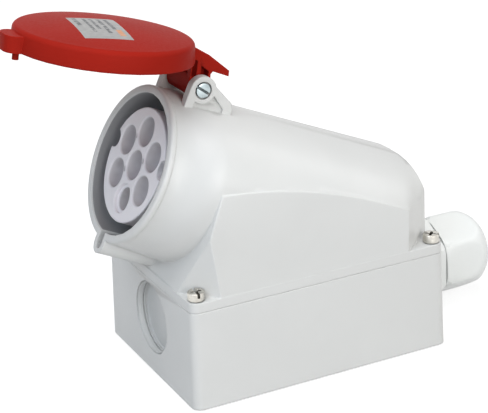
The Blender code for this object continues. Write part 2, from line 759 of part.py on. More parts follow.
def insert_screw_places():
    """Places of the three screws that hold the insert to the collar's floor."""
    turns = [math.radians(90 + 120 * k) for k in range(3)]
    return [(INSERT_SCREW_CIRCLE * math.cos(a), INSERT_SCREW_CIRCLE * math.sin(a)) for a in turns]


def pole_sizes(index):
    """Outer and bore radius of a sleeve. Pole 1 is earth and is thicker."""
    return (EARTH_SLEEVE_RADIUS, EARTH_SLEEVE_BORE) if index == 1 else (SLEEVE_RADIUS, SLEEVE_BORE)


def flange_depth():
    """Depth behind the rim of the front of the insert's flange."""
    return COLLAR_DEPTH + COLLAR_FLOOR + FIT


def make_contact_insert():
    """Moulded insert with seven apertures, two notches and a rear flange."""
    back = -flange_depth() - INSERT_FLANGE
    face = -INSERT_RECESS
    insert = lathe([
        (0, back), (INSERT_FLANGE_RADIUS, back), (INSERT_FLANGE_RADIUS, -flange_depth()),
        (INSERT_RADIUS, -flange_depth()), (INSERT_RADIUS, face - 0.0006), (INSERT_RADIUS - 0.0006, face), (0, face),
    ], LARGE_STEPS)
    for index, (x, y) in enumerate(pole_places()):
        outer = pole_sizes(index)[0] + FIT
        well = [(0, back - FIT), (outer, back - FIT), (outer, face - APERTURE_DEPTH)]
        if index == 1:
            well += [(EARTH_STEP_RADIUS, face - APERTURE_DEPTH), (EARTH_STEP_RADIUS, face - EARTH_STEP_DEPTH)]
            well += [(APERTURE_RADIUS, face - EARTH_STEP_DEPTH), (APERTURE_RADIUS, 0), (0, 0)]
        else:
            well += [(APERTURE_RADIUS, face - APERTURE_DEPTH), (APERTURE_RADIUS, 0), (0, 0)]
        cut(insert, moved(lathe(well, ROUND_STEPS), x, y))
    for degrees in INSERT_NOTCH_ANGLES:
        angle = math.radians(degrees)
        notch = cylinder(INSERT_NOTCH_RADIUS, -flange_depth() + COLLAR_FLOOR, 0, 16)
        cut(insert, moved(notch, INSERT_RADIUS * math.cos(angle), INSERT_RADIUS * math.sin(angle)))
    for x, y in insert_screw_places():
        cut(insert, moved(cylinder(INSERT_SCREW_RADIUS + FIT, back - FIT, -COLLAR_DEPTH, 12), x, y))
    return insert


def block_front():
    """Height, in the collar's frame, of the terminal block's front face."""
    return -flange_depth() - INSERT_FLANGE - FIT


def make_terminal_block():
    """Rear plate that holds the seven sleeves behind the insert."""
    front = block_front()
    back = front - BLOCK_THICKNESS
    edge = 0.0008
    block = lathe([
        (0, back), (BLOCK_RADIUS - edge, back), (BLOCK_RADIUS, back + edge), (BLOCK_RADIUS, front), (0, front),
    ], ROUND_STEPS)
    for index, (x, y) in enumerate(pole_places()):
        cut(block, moved(cylinder(pole_sizes(index)[0] + FIT, back - FIT, front + FIT, SMALL_STEPS), x, y))
    return block


def terminal_top():
    """Height, in the collar's frame, of the front of a sleeve's terminal."""
    return block_front() - BLOCK_THICKNESS - FIT


def terminal_direction(index):
    """Angle at which a pole's terminal screw points away from its sleeve."""
    if index == 0:
        return math.radians(60)
    return math.radians(270 + 360 * (index - 1) / OUTER_POLES)


def make_sleeve(index):
    """A turned sleeve with a pin bore in front and a wire hole and screw hole in its terminal."""
    outer, bore = pole_sizes(index)
    front = -INSERT_RECESS - APERTURE_DEPTH - FIT
    back = terminal_top() - TERMINAL_LENGTH
    bottom = front - SLEEVE_BORE_DEPTH
    sleeve = lathe([
        (0, back + TERMINAL_LENGTH * 0.9), (WIRE_HOLE_RADIUS, back + TERMINAL_LENGTH * 0.9), (WIRE_HOLE_RADIUS, back),
        (TERMINAL_RADIUS, back), (TERMINAL_RADIUS, terminal_top()), (outer, terminal_top()),
        (outer, front - 0.0004), (outer - 0.0004, front), (bore, front), (bore, bottom), (0, bottom - bore * 0.5),
    ], SMALL_STEPS)
    hole = placed(cylinder(TERMINAL_SCREW_RADIUS + FIT, 0, 2 * TERMINAL_RADIUS, 10), Matrix.Rotation(math.pi / 2, 4, "Y"))
    placed(hole, Matrix.Rotation(terminal_direction(index), 4, "Z"))
    return cut(sleeve, moved(hole, 0, 0, back + TERMINAL_LENGTH / 2))


def make_terminal_screw():
    """A short clamping screw along Z, its head at the terminal's surface."""
    return slotted_screw(
        TERMINAL_SCREW_HEAD, TERMINAL_SCREW_HEAD * 0.7, TERMINAL_SCREW_RADIUS,
        TERMINAL_RADIUS - WIRE_HOLE_RADIUS + FIT, TERMINAL_SCREW_RADIUS * 0.5, 8,
    )


# Hinge

def make_hinge_pin():
    """Slotted pin through both ears, its head sunk in the ear on the +X side."""
    length = 2 * EAR_OUTER - PIN_HEAD_LENGTH - FIT
    pin = slotted_screw(PIN_HEAD_RADIUS, PIN_HEAD_LENGTH, PIN_RADIUS, length, 0.0009, ROUND_STEPS)
    return placed(pin, Matrix.Rotation(math.pi / 2, 4, "Y") @ Matrix.Rotation(math.radians(PIN_SLOT_TURN), 4, "Z"))


def make_spring():
    """Torsion spring round the pin: a coil with one short leg towards the hood and one towards the lid."""
    width = 2 * (SPRING_SLOT_HALF - SPRING_WIRE - 2 * FIT)
    start, end = math.radians(-100), math.radians(-100) + math.tau * SPRING_TURNS + math.radians(150)
    steps = 10 * SPRING_TURNS
    path = []
    for k in range(steps + 1):
        t = k / steps
        angle = start + (end - start) * t
        path.append(Vector((width * (t - 0.5), SPRING_RADIUS * math.cos(angle), SPRING_RADIUS * math.sin(angle))))
    leg = 0.0026
    first = Vector((0, math.sin(start), -math.cos(start)))
    last = Vector((0, -math.sin(end), math.cos(end)))
    path = [path[0] - first * leg] + path + [path[-1] + last * leg * 0.6]
    return tube(path, SPRING_WIRE, 5)


def tube(path, radius, sides):
    """A round wire along a path of points, with flat ends."""
    rings = []
    for k, point in enumerate(path):
        ahead = (path[min(k + 1, len(path) - 1)] - path[max(k - 1, 0)]).normalized()
        across = ahead.cross(Vector((1, 0, 0))).normalized()
        other = ahead.cross(across).normalized()
        turns = [math.tau * i / sides for i in range(sides)]
        rings.append([point + across * radius * math.cos(a) + other * radius * math.sin(a) for a in turns])
    return loft(rings)


# Lid

def lid_bottom():
    """Height of the skirt's lower edge in the lid's frame."""
    return LID_TOP - LID_SKIRT_DEPTH


def plate_bottom():
    """Height of the underside of the lid's plate in the lid's frame."""
    return LID_TOP - LID_PLATE


def lid_disc_profile():
    """Section of the domed plate and its skirt as (radius, height) points."""
    flat = LID_RADIUS - LID_SKIRT_TAPER - LID_EDGE
    inner = LID_RADIUS - LID_SKIRT_WALL
    rib_outer = SEAL_INNER - FIT
    rib_bottom = plate_bottom() - SEAL_THICKNESS * 0.7
    dome = [(flat * k / 4, LID_TOP + LID_DOME * (1 - (k / 4) ** 2)) for k in range(4)]
    edge = arc((flat, LID_TOP - LID_EDGE), LID_EDGE, 90, 0, 3)
    inside = [
        (inner, lid_bottom()), (inner, plate_bottom()), (rib_outer, plate_bottom()), (rib_outer, rib_bottom),
        (rib_outer - SEAL_RIB, rib_bottom), (rib_outer - SEAL_RIB, plate_bottom()), (0, plate_bottom()),
    ]
    return dome + edge + [(LID_RADIUS, lid_bottom())] + inside


def neck_outline():
    """Side view of the neck and finger lever as (y, z) points of the lid's frame."""
    knuckle = arc((0, 0), KNUCKLE_RADIUS, 0, -180, 8)
    root = HINGE_FROM_AXIS - LID_RADIUS + LID_SKIRT_WALL
    return [
        (-root - 0.0050, LID_TOP - LID_PLATE * 0.4), (-root - 0.0035, LID_TOP - 0.0010), (-root, LID_TOP - 0.0030),
        (-0.0010, LID_TOP - 0.0048), (LEVER_KNEE, LEVER_KNEE_HEIGHT),
        (LEVER_REACH, LEVER_TIP + LEVER_TIP_THICKNESS / 2), (LEVER_REACH, LEVER_TIP - LEVER_TIP_THICKNESS / 2),
        (NECK_REAR + 0.0008, LEVER_TIP + 0.0007), (NECK_REAR, LEVER_TIP - 0.0004),
    ] + knuckle + [(-NECK_FRONT, plate_bottom() - SEAL_THICKNESS), (-root - 0.0050, plate_bottom() + LID_PLATE * 0.3)]


def neck_pockets():
    """Two pockets sunk into each side of the neck, which leave upright ribs between them."""
    tools = []
    front = [(-0.0042, 0.0046), (-0.0020, 0.0046), (-0.0020, 0.0110), (-0.0042, 0.0112)]
    rear = [(-0.0003, 0.0050), (0.0032, 0.0036), (0.0032, 0.0068), (-0.0003, 0.0090)]
    for sign in (1, -1):
        ends = sorted((sign * (NECK_HALF - NECK_POCKET_DEPTH), sign * (NECK_HALF + NECK_POCKET_DEPTH)))
        tools += [prism_x(outline, *ends) for outline in (front, rear)]
    return tools


def nose_outline(half, reach):
    """Plan of the nose as (x, y) points of the lid's frame, round at its tip."""
    start = -HINGE_FROM_AXIS - LID_RADIUS + 2 * LID_SKIRT_WALL
    tip = -HINGE_FROM_AXIS - reach
    bend = min(half, 0.0045)
    right = arc((half - bend, tip + bend), bend, 0, -90, 5)
    left = arc((-half + bend, tip + bend), bend, -90, -180, 5)
    return [(half, start)] + right + left + [(-half, start)]


def make_lid():
    """Domed disc with a skirt, a nose over the keyway ridge, a locking peg, and a ribbed neck with a finger lever."""
    outside = prism(nose_outline(NOSE_HALF, NOSE_REACH), lid_bottom(), LID_TOP - NOSE_DROP)
    join(outside, prism_x(neck_outline(), -NECK_HALF, NECK_HALF))
    inside = cylinder(LID_RADIUS - LID_SKIRT_WALL / 2, -LID_TOP, LID_TOP - LID_PLATE / 2, LARGE_STEPS)
    cut(outside, moved(inside, 0, -HINGE_FROM_AXIS))
    lid = join(moved(lathe(lid_disc_profile(), LARGE_STEPS), 0, -HINGE_FROM_AXIS), outside)
    ridge_half = KEYWAY_HALF + KEYWAY_WALL + 2 * FIT
    ridge_reach = KEYWAY_REACH + KEYWAY_WALL + 3 * FIT
    rim = HINGE_BEHIND_RIM + 2 * FIT
    cut(lid, prism(nose_outline(ridge_half, ridge_reach), lid_bottom() - FIT, rim))
    peg_y = -HINGE_FROM_AXIS - KEYWAY_REACH + PEG_RADIUS + FIT
    join(lid, moved(cylinder(PEG_RADIUS, lid_bottom() - PEG_LENGTH, rim + LID_PLATE, 12), 0, peg_y))
    cut(lid, *neck_pockets())
    slot = cylinder(SPRING_RADIUS + SPRING_WIRE + 4 * FIT, -SPRING_SLOT_HALF, SPRING_SLOT_HALF, 20)
    cut(lid, placed(slot, Matrix.Rotation(math.pi / 2, 4, "Y")))
    below = [(-0.02, 0.0), (0.02, 0.0), (0.02, -0.02), (-0.02, -0.02)]
    cut(lid, prism_x(below, -SPRING_SLOT_HALF, SPRING_SLOT_HALF))
    bore = cylinder(PIN_RADIUS + FIT, -EAR_OUTER, EAR_OUTER, 20)
    return cut(lid, placed(bore, Matrix.Rotation(math.pi / 2, 4, "Y")))


def make_lid_seal():
    """Flat rubber ring under the plate, between the skirt and the inner rib."""
    outer = LID_RADIUS - LID_SKIRT_WALL - FIT
    top = plate_bottom() - FIT
    bottom = plate_bottom() - SEAL_THICKNESS
    seal = lathe([(SEAL_INNER, bottom), (outer, bottom), (outer, top), (SEAL_INNER, top)], LARGE_STEPS)
    return moved(seal, 0, -HINGE_FROM_AXIS)


# Gland

def gland_stops():
    """Places along the gland's axis: washer, flange, flange end, nut start and nut end."""
    washer = gland_boss_end() + FIT
    flange = washer + GLAND_WASHER + FIT
    flange_end = flange + GLAND_FLANGE
    nut = flange_end + GLAND_SPLIT
    return washer, flange, flange_end, nut, nut + GLAND_NUT_LENGTH


def inner_wall_y():
    """Inner face of the rear wall at the level of the locknut's lowest corner."""
    return half_sizes(GLAND_Z + LOCKNUT_RADIUS)[1] - BOX_WALL


def make_gland_washer():
    """Flat seal between the boss and the gland's flange."""
    washer = gland_stops()[0]
    outer = GLAND_BOSS_RADIUS - 0.0008
    inner = GLAND_THREAD_RADIUS + FIT
    return lathe([(inner, washer), (outer, washer), (outer, washer + GLAND_WASHER), (inner, washer + GLAND_WASHER)], ROUND_STEPS)


def make_gland_body():
    """Threaded tube with a hexagonal flange."""
    _, flange, flange_end, nut, _ = gland_stops()
    inside = inner_wall_y() - LOCKNUT_LENGTH - 0.0020
    tail = nut + GLAND_TUBE_TAIL
    outer, bore = GLAND_THREAD_RADIUS, GLAND_BORE
    body = lathe([(bore, inside), (outer - 0.0006, inside), (outer, inside + 0.0006), (outer, tail), (bore, tail)], ROUND_STEPS)
    rim = GLAND_HEX_RADIUS * 0.955
    drum = lathe([
        (bore + 0.001, flange), (rim, flange), (GLAND_HEX_RADIUS, flange + 0.0012), (GLAND_HEX_RADIUS, flange_end - 0.0012),
        (rim, flange_end), (bore + 0.001, flange_end),
    ], LARGE_STEPS)
    return join(body, common(hexagon(GLAND_HEX_RADIUS, flange - FIT, flange_end + FIT), drum))


def make_gland_nut():
    """Hexagonal dome nut with a round-nosed end."""
    _, _, _, nut, end = gland_stops()
    radius, mouth = GLAND_HEX_RADIUS, GLAND_DOME_RADIUS
    shoulder = nut + GLAND_NUT_LENGTH * 0.52
    curve = []
    for k in range(6):
        turn = math.radians(90 * k / 5)
        curve.append((mouth - 0.001 + (radius - mouth + 0.001) * math.cos(turn), shoulder + (end - shoulder) * math.sin(turn)))
    seat = nut + GLAND_TUBE_TAIL + GLAND_SEAL_LENGTH + 2 * FIT
    inner = GLAND_THREAD_RADIUS + FIT
    profile = [(inner, nut), (radius * 0.965, nut), (radius, nut + 0.0010)] + curve
    profile += [(GLAND_BORE - 0.0010, end), (GLAND_BORE - 0.0010, seat + 0.0008), (GLAND_SEAL_RADIUS, seat), (inner, seat)]
    dome = lathe(profile, LARGE_STEPS)
    hexed = hexagon(GLAND_HEX_RADIUS, nut - FIT, end + FIT)
    return common(dome, hexed)


def make_gland_seal():
    """Rubber sleeve that the dome nut squeezes on a cable."""
    start = gland_stops()[3] + GLAND_TUBE_TAIL + FIT
    end = start + GLAND_SEAL_LENGTH
    inner = GLAND_BORE - 0.0016
    return lathe([(inner, start), (GLAND_SEAL_RADIUS, start), (GLAND_SEAL_RADIUS, end), (inner + 0.0004, end)], ROUND_STEPS)


def make_gland_locknut():
    """Thin nut on the gland's thread, inside the box."""
    end = inner_wall_y() - FIT
    start = end - LOCKNUT_LENGTH
    nut = placed(hexagon(LOCKNUT_RADIUS, start, end), Matrix.Rotation(math.radians(30), 4, "Z"))
    return cut(nut, cylinder(GLAND_THREAD_RADIUS + FIT, start - FIT, end + FIT, ROUND_STEPS))


# Assembly

def make_materials():
    """Materials by finish."""
    return {
        "grey": make_material("moulded_light_grey", (0.72, 0.73, 0.70), 0.42),
        "red": make_material("moulded_red", (0.42, 0.028, 0.022), 0.38),
        "insert": make_material("moulded_lilac_grey", (0.60, 0.58, 0.62), 0.45),
        "white": make_material("nylon_white", (0.82, 0.85, 0.84), 0.40),
        "rubber": make_material("rubber_black", (0.02, 0.02, 0.02), 0.75),
        "brass": make_material("brass", (0.78, 0.57, 0.26), 0.30, 1.0),
        "steel": make_material("nickel_steel", (0.62, 0.60, 0.56), 0.28, 1.0),
        "zinc": make_material("zinc_steel", (0.55, 0.60, 0.63), 0.35, 1.0),
    }


def assemble_housing(looks):
    """Box, cover, their gasket, screws and threaded inserts."""
    finish(make_base_box(), "base_box", looks["grey"])
    finish(make_cover(), "cover_housing", looks["grey"], sharp_degrees=18.0)
    finish(make_rim_gasket(), "rim_gasket", looks["rubber"])
    for number, (x, y) in enumerate(screw_places(), 1):
        screw = finish(make_cover_screw(), f"cover_screw_{number}", looks["steel"])
        screw.location = (x, y, shelf_level() + FIT)
        screw.rotation_euler = (0, 0, math.radians(35 + 50 * number))
        bush = finish(make_thread_insert(), f"thread_insert_{number}", looks["brass"])
        bush.location = (x, y, BOX_HEIGHT)


def assemble_contacts(looks):
    """Insert, terminal block, sleeves and their screws in the collar's frame."""
    collar = make_empty("collar_axis", collar_matrix())
    finish(make_contact_insert(), "contact_insert", looks["insert"], collar)
    finish(make_terminal_block(), "terminal_block", looks["insert"], collar)
    middle = terminal_top() - TERMINAL_LENGTH / 2
    for index, (x, y) in enumerate(pole_places()):
        name = "earth" if index == 1 else f"pole_{index or 1}"
        sleeve = finish(make_sleeve(index), f"contact_sleeve_{name}", looks["brass"], collar)
        sleeve.location = (x, y, 0)
        angle = terminal_direction(index)
        reach = TERMINAL_RADIUS + FIT
        screw = finish(make_terminal_screw(), f"terminal_screw_{name}", looks["zinc"], collar)
        screw.location = (x + reach * math.cos(angle), y + reach * math.sin(angle), middle)
        screw.rotation_euler = (0, math.pi / 2, angle)
    for number, (x, y) in enumerate(insert_screw_places(), 1):
        depth = flange_depth() + INSERT_FLANGE + FIT
        length = depth - COLLAR_DEPTH - COLLAR_FLOOR + INSERT_SCREW_BITE
        screw = slotted_screw(INSERT_SCREW_HEAD, INSERT_SCREW_HEAD * 0.7, INSERT_SCREW_RADIUS, length, 0.0006, 12)
        finish(screw, f"insert_screw_{number}", looks["zinc"], collar)
        screw.location = (x, y, -depth)
        screw.rotation_euler = (math.pi, 0, math.radians(40 * number))


def assemble_lid(looks):
    """Lid and its seal on the hinge's empty, with the pin and the spring on the housing's side."""
    hinge = make_empty("lid_hinge_axis", lid_matrix())
    finish(make_lid(), "lid", looks["red"], hinge)
    finish(make_lid_seal(), "lid_seal", looks["rubber"], hinge)
    pin = finish(make_hinge_pin(), "hinge_pin", looks["zinc"])
    pin.location = hinge_place() + Vector((EAR_OUTER - PIN_HEAD_LENGTH, 0, 0))
    spring = finish(make_spring(), "torsion_spring", looks["steel"])
    spring.location = hinge_place()


def assemble_gland(looks):
    """Cable gland in the rear wall."""
    gland = make_empty("gland_axis", gland_matrix())
    finish(make_gland_washer(), "gland_washer", looks["rubber"], gland)
    finish(make_gland_body(), "gland_body", looks["white"], gland)
    finish(make_gland_nut(), "gland_nut", looks["white"], gland)
    finish(make_gland_seal(), "gland_seal", looks["rubber"], gland)
    finish(make_gland_locknut(), "gland_locknut", looks["white"], gland)


def main():
    """Clear the scene and build the socket."""
    for obj in list(bpy.data.objects):
        bpy.data.objects.remove(obj, do_unlink=True)
    looks = make_materials()
    assemble_housing(looks)
    assemble_contacts(looks)
    assemble_lid(looks)
    assemble_gland(looks)


main()
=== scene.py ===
"""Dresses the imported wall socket: moulded housing, contacts, red lid, gland, fasteners and a plain studio."""

import logging
import math
from dataclasses import dataclass, field
from enum import Enum
from typing import Dict, List, Optional, Sequence, Tuple, Union

import bmesh
import bpy
import numpy as np
from mathutils import Matrix, Vector


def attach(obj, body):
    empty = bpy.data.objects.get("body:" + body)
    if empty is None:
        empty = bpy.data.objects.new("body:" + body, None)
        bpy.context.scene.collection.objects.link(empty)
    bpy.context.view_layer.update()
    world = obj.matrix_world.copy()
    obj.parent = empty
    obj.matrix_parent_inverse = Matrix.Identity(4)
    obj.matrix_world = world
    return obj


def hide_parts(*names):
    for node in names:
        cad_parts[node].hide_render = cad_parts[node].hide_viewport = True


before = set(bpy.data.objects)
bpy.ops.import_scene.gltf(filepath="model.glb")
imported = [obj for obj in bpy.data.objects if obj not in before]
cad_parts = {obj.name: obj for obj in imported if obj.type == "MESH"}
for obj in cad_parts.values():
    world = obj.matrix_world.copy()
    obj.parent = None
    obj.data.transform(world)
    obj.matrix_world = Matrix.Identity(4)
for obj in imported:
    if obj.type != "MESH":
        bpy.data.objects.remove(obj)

LOG = logging.getLogger("wall_socket")
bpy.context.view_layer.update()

Colour = Tuple[float, float, float]
Number = Union[int, float]

# Tolerances in metres: doubles that merge, slivers that go, levels that count as one, and the band of topmost points
MERGE = 2e-6
SLIVER = 1e-6
SAME_LEVEL = 1e-7
TOP_BAND = 1e-5


# Shader maths


class Value:
    """A number on a socket. Operators add Math nodes, so masks read as plain arithmetic."""

    def __init__(self, maker: "NodeMaker", socket: bpy.types.NodeSocket) -> None:
        """Keep the tree's maker and the socket."""
        self.maker = maker
        self.socket = socket

    def _join(self, operation: str, first: Union["Value", Number], second: Union["Value", Number]) -> "Value":
        """Add one Math node.

        Args:
            operation: The Math node's operation.
            first: Left operand.
            second: Right operand.

        Returns:
            The node's result.
        """
        node = self.maker.node("ShaderNodeMath", {"operation": operation}, {0: first, 1: second})
        return Value(self.maker, node.outputs[0])

    def __add__(self, other: Union["Value", Number]) -> "Value":
        """Sum."""
        return self._join("ADD", self, other)

    __radd__ = __add__

    def __mul__(self, other: Union["Value", Number]) -> "Value":
        """Product."""
        return self._join("MULTIPLY", self, other)

    __rmul__ = __mul__

    def __sub__(self, other: Union["Value", Number]) -> "Value":
        """Difference."""
        return self._join("SUBTRACT", self, other)

    def __rsub__(self, other: Number) -> "Value":
        """Difference from a number."""
        return self._join("SUBTRACT", other, self)

    def ramp(self, low: float, high: float, to_low: float = 0.0, to_high: float = 1.0) -> "Value":
        """Smooth step from one range to another.

        Args:
            low: Value that gives to_low.
            high: Value that gives to_high.
            to_low: Result at low and before it.
            to_high: Result at high and after it.

        Returns:
            The eased value.
        """
        inputs = {0: self, 1: low, 2: high, 3: to_low, 4: to_high}
        node = self.maker.node("ShaderNodeMapRange", {"interpolation_type": "SMOOTHSTEP"}, inputs)
        return Value(self.maker, node.outputs[0])


class NodeMaker:
    """Adds nodes and their links to one tree."""

    def __init__(self, tree: bpy.types.NodeTree) -> None:
        """Keep the tree, emptied."""
        self.tree = tree
        tree.nodes.clear()

    def node(self, kind: str, settings: Dict[str, object], inputs: Dict[Union[int, str], object]) -> bpy.types.Node:
        """Add a node.

        Args:
            kind: The node's type.
            settings: Properties, set first.
            inputs: Values or links by socket name or number.

        Returns:
            The new node.
        """
        node = self.tree.nodes.new(kind)
        for key, value in settings.items():
            setattr(node, key, value)
        for key, value in inputs.items():
            if isinstance(value, Value):
                value = value.socket
            if isinstance(value, bpy.types.NodeSocket):
                self.tree.links.new(value, node.inputs[key])
            else:
                node.inputs[key].default_value = value
        return node

    def seen(self) -> Value:
        """Tell seen rays from the rest.

        Returns:
            One for rays from the camera, off gloss or through glass, else zero.
        """
        path = self.node("ShaderNodeLightPath", {}, {})
        straight = Value(self, path.outputs["Is Camera Ray"]) + Value(self, path.outputs["Is Glossy Ray"])
        return (straight + Value(self, path.outputs["Is Transmission Ray"])).ramp(0.0, 1.0)


class MaterialMaker(NodeMaker):
    """Builds one material's nodes round a Principled shader."""

    def __init__(self, name: str) -> None:
        """Start a tree with a Principled shader on the output.

        Args:
            name: The material's name.
        """
        self.material = bpy.data.materials.new(name)
        self.material.use_nodes = True
        super().__init__(self.material.node_tree)
        self.output = self.node("ShaderNodeOutputMaterial", {}, {})
        self.shader = self.node("ShaderNodeBsdfPrincipled", {}, {})
        self.tree.links.new(self.shader.outputs[0], self.output.inputs[0])
        self.place = self.node("ShaderNodeTexCoord", {}, {}).outputs["Object"]

    def noise(self, size: float, detail: float = 3.0, stretch: Optional[Colour] = None) -> Value:
        """Fractal noise whose blobs are about one size across, in metres.

        Args:
            size: Size of a blob.
            detail: Octaves.
            stretch: Scale along X, Y and Z, or None.

        Returns:
            A value round 0.5.
        """
        place = self.place
        if stretch is not None:
            place = self.node("ShaderNodeMapping", {}, {0: place, 3: stretch}).outputs[0]
        node = self.node("ShaderNodeTexNoise", {}, {"Vector": place, "Scale": 1.0 / size, "Detail": detail})
        return Value(self, node.outputs[0])

    def blend(self, factor: Union[Value, float], first: object, second: object) -> bpy.types.NodeSocket:
        """Mix two colours.

        Args:
            factor: Share of the second.
            first: Colour or link.
            second: Colour or link.

        Returns:
            The mixed colour's socket.
        """
        first, second = ((*c, 1.0) if isinstance(c, tuple) and len(c) == 3 else c for c in (first, second))
        node = self.node("ShaderNodeMix", {"data_type": "RGBA"}, {0: factor, 6: first, 7: second})
        return node.outputs[2]

    def edges(self, radius: float) -> Tuple[bpy.types.NodeSocket, Value]:
        """Rounded normal and a mask of the edges that it rounds.

        The mask is one minus the dot product of the rounded and the true normal, eased.

        Args:
            radius: Radius of the rounding in metres.

        Returns:
            The normal's socket and the mask.
        """
        rounded = self.node("ShaderNodeBevel", {"samples": 6}, {"Radius": radius}).outputs[0]
        true = self.node("ShaderNodeNewGeometry", {}, {}).outputs["Normal"]
        dot = self.node("ShaderNodeVectorMath", {"operation": "DOT_PRODUCT"}, {0: rounded, 1: true})
        return rounded, (1.0 - Value(self, dot.outputs["Value"])).ramp(0.01, 0.18)

    def hollows(self, distance: float, open_end: float = 0.35, deep_end: float = 0.95) -> Value:
        """How closed in a point is.

        Args:
            distance: Reach in metres.
            open_end: Covered share that still counts as open.
            deep_end: Covered share that counts as a deep corner.

        Returns:
            From 0 in the open to 1 in a deep corner.
        """
        node = self.node("ShaderNodeAmbientOcclusion", {"samples": 8}, {"Distance": distance})
        return (1.0 - Value(self, node.outputs["AO"])).ramp(open_end, deep_end)

    def relief(self, height: Value, depth: float, normal: Optional[bpy.types.NodeSocket] = None) -> None:
        """Bump the surface and link it to the shader.

        Args:
            height: Height from 0 to 1.
            depth: Height of 1 in metres.
            normal: Normal to start from.
        """
        inputs: Dict[Union[int, str], object] = {"Strength": 1.0, "Distance": depth, "Height": height}
        if normal is not None:
            inputs["Normal"] = normal
        bump = self.node("ShaderNodeBump", {}, inputs)
        self.tree.links.new(bump.outputs[0], self.shader.inputs["Normal"])

    def dress(self, **values: object) -> bpy.types.Material:
        """Set the shader's sockets.

        Args:
            values: Values or links by socket name, with underscores for spaces.

        Returns:
            The material.
        """
        for key, value in values.items():
            socket = self.shader.inputs[key.replace("_", " ")]
            value = value.socket if isinstance(value, Value) else value
            if isinstance(value, bpy.types.NodeSocket):
                self.tree.links.new(value, socket)
            else:
                socket.default_value = (*value, 1.0) if isinstance(value, tuple) and len(value) == 3 else value
        return self.material


# Finishes


def shade(colour: Colour, factor: float) -> Colour:
    """A colour times a factor."""
    return tuple(min(1.0, channel * factor) for channel in colour)


@dataclass(frozen=True)
class MouldedPlastic:
    """Injection-moulded plastic: spark-eroded grain, faint flow clouds, edges made lighter (part wear, part painted
    highlight) and painted shade in the corners.
    """

    name: str
    colour: Colour
    roughness: float
    clouds: float = 0.05
    grain: float = 0.00001
    # Edge lightness: part rubbed wear, part painted highlight.
    wear_and_highlight: float = 1.06
    # Share of the colour kept in hollows; the rest goes to painted shade.
    hollow_lightness: float = 0.90
    soft_edge: float = 0.0005
    gloss: float = 0.45

    def make(self) -> bpy.types.Material:
        """Build the finish.

        Returns:
            The material.
        """
        maker = MaterialMaker(self.name)
        normal, edge = maker.edges(self.soft_edge)
        cloud = maker.noise(0.030, 4.0).ramp(0.35, 0.65)
        speck = maker.noise(0.0011, 3.0).ramp(0.60, 0.78)
        tone = maker.blend(cloud * self.clouds, self.colour, shade(self.colour, 0.55))
        tone = maker.blend(speck * 0.02, tone, shade(self.colour, 0.45))
        # Edges are made lighter: part rubbed wear, part painted highlight.
        tone = maker.blend(edge * 0.8, tone, shade(self.colour, self.wear_and_highlight))
        # Painted shade: hollows within 3 mm are darkened towards 0.3 of the colour, the more the lower the kept share
        # is.
        tone = maker.blend(maker.hollows(0.003) * (1.0 - self.hollow_lightness), tone, shade(self.colour, 0.30))
        fine = maker.noise(0.0011, 2.0)
        peel = maker.noise(0.0040, 2.0)
        rough = fine.ramp(0.3, 0.7, self.roughness - 0.03, self.roughness + 0.03) + edge * -0.06
        maker.relief(fine * 0.7 + peel * 0.3, self.grain, normal)
        return maker.dress(Base_Color=tone, Roughness=rough, IOR=1.5, Specular_IOR_Level=self.gloss)


@dataclass(frozen=True)
class Elastomer:
    """Black rubber with a dull bloom and fine pores."""

    name: str
    colour: Colour = (0.018, 0.018, 0.019)

    def make(self) -> bpy.types.Material:
        """Build the finish.

        Returns:
            The material.
        """
        maker = MaterialMaker(self.name)
        bloom = maker.noise(0.006, 4.0).ramp(0.4, 0.75)
        pores = maker.noise(0.0006, 2.0)
        tone = maker.blend(bloom * 0.5, self.colour, shade(self.colour, 2.6))
        maker.relief(pores, 0.00005)
        return maker.dress(Base_Color=tone, Roughness=pores.ramp(0.3, 0.7, 0.62, 0.80), Specular_IOR_Level=0.35)


@dataclass(frozen=True)
class PlatedMetal:
    """Metal with a fine drawn grain, dull patches, rubbed edges and painted shade in its hollows."""

    name: str
    colour: Colour
    roughness: float
    tarnish: Colour
    tarnished: float = 0.3

    def make(self) -> bpy.types.Material:
        """Build the finish.

        Returns:
            The material.
        """
        maker = MaterialMaker(self.name)
        normal, edge = maker.edges(0.00015)
        patch = maker.noise(0.0025, 4.0).ramp(0.42, 0.68)
        streak = maker.noise(0.0006, 3.0, (1.0, 1.0, 6.0))
        tone = maker.blend(patch * self.tarnished, self.colour, self.tarnish)
        tone = maker.blend(edge * 0.4, tone, shade(self.colour, 1.25))
        # Painted shade: hollows within 1.2 mm are darkened towards a dark tarnish.
        tone = maker.blend(maker.hollows(0.0012, 0.10, 0.60), tone, shade(self.tarnish, 0.20))
        rough = streak.ramp(0.3, 0.7, self.roughness - 0.06, self.roughness + 0.10) + patch * 0.10
        maker.relief(streak, 0.00002, normal)
        return maker.dress(Base_Color=tone, Roughness=rough, Metallic=1.0)


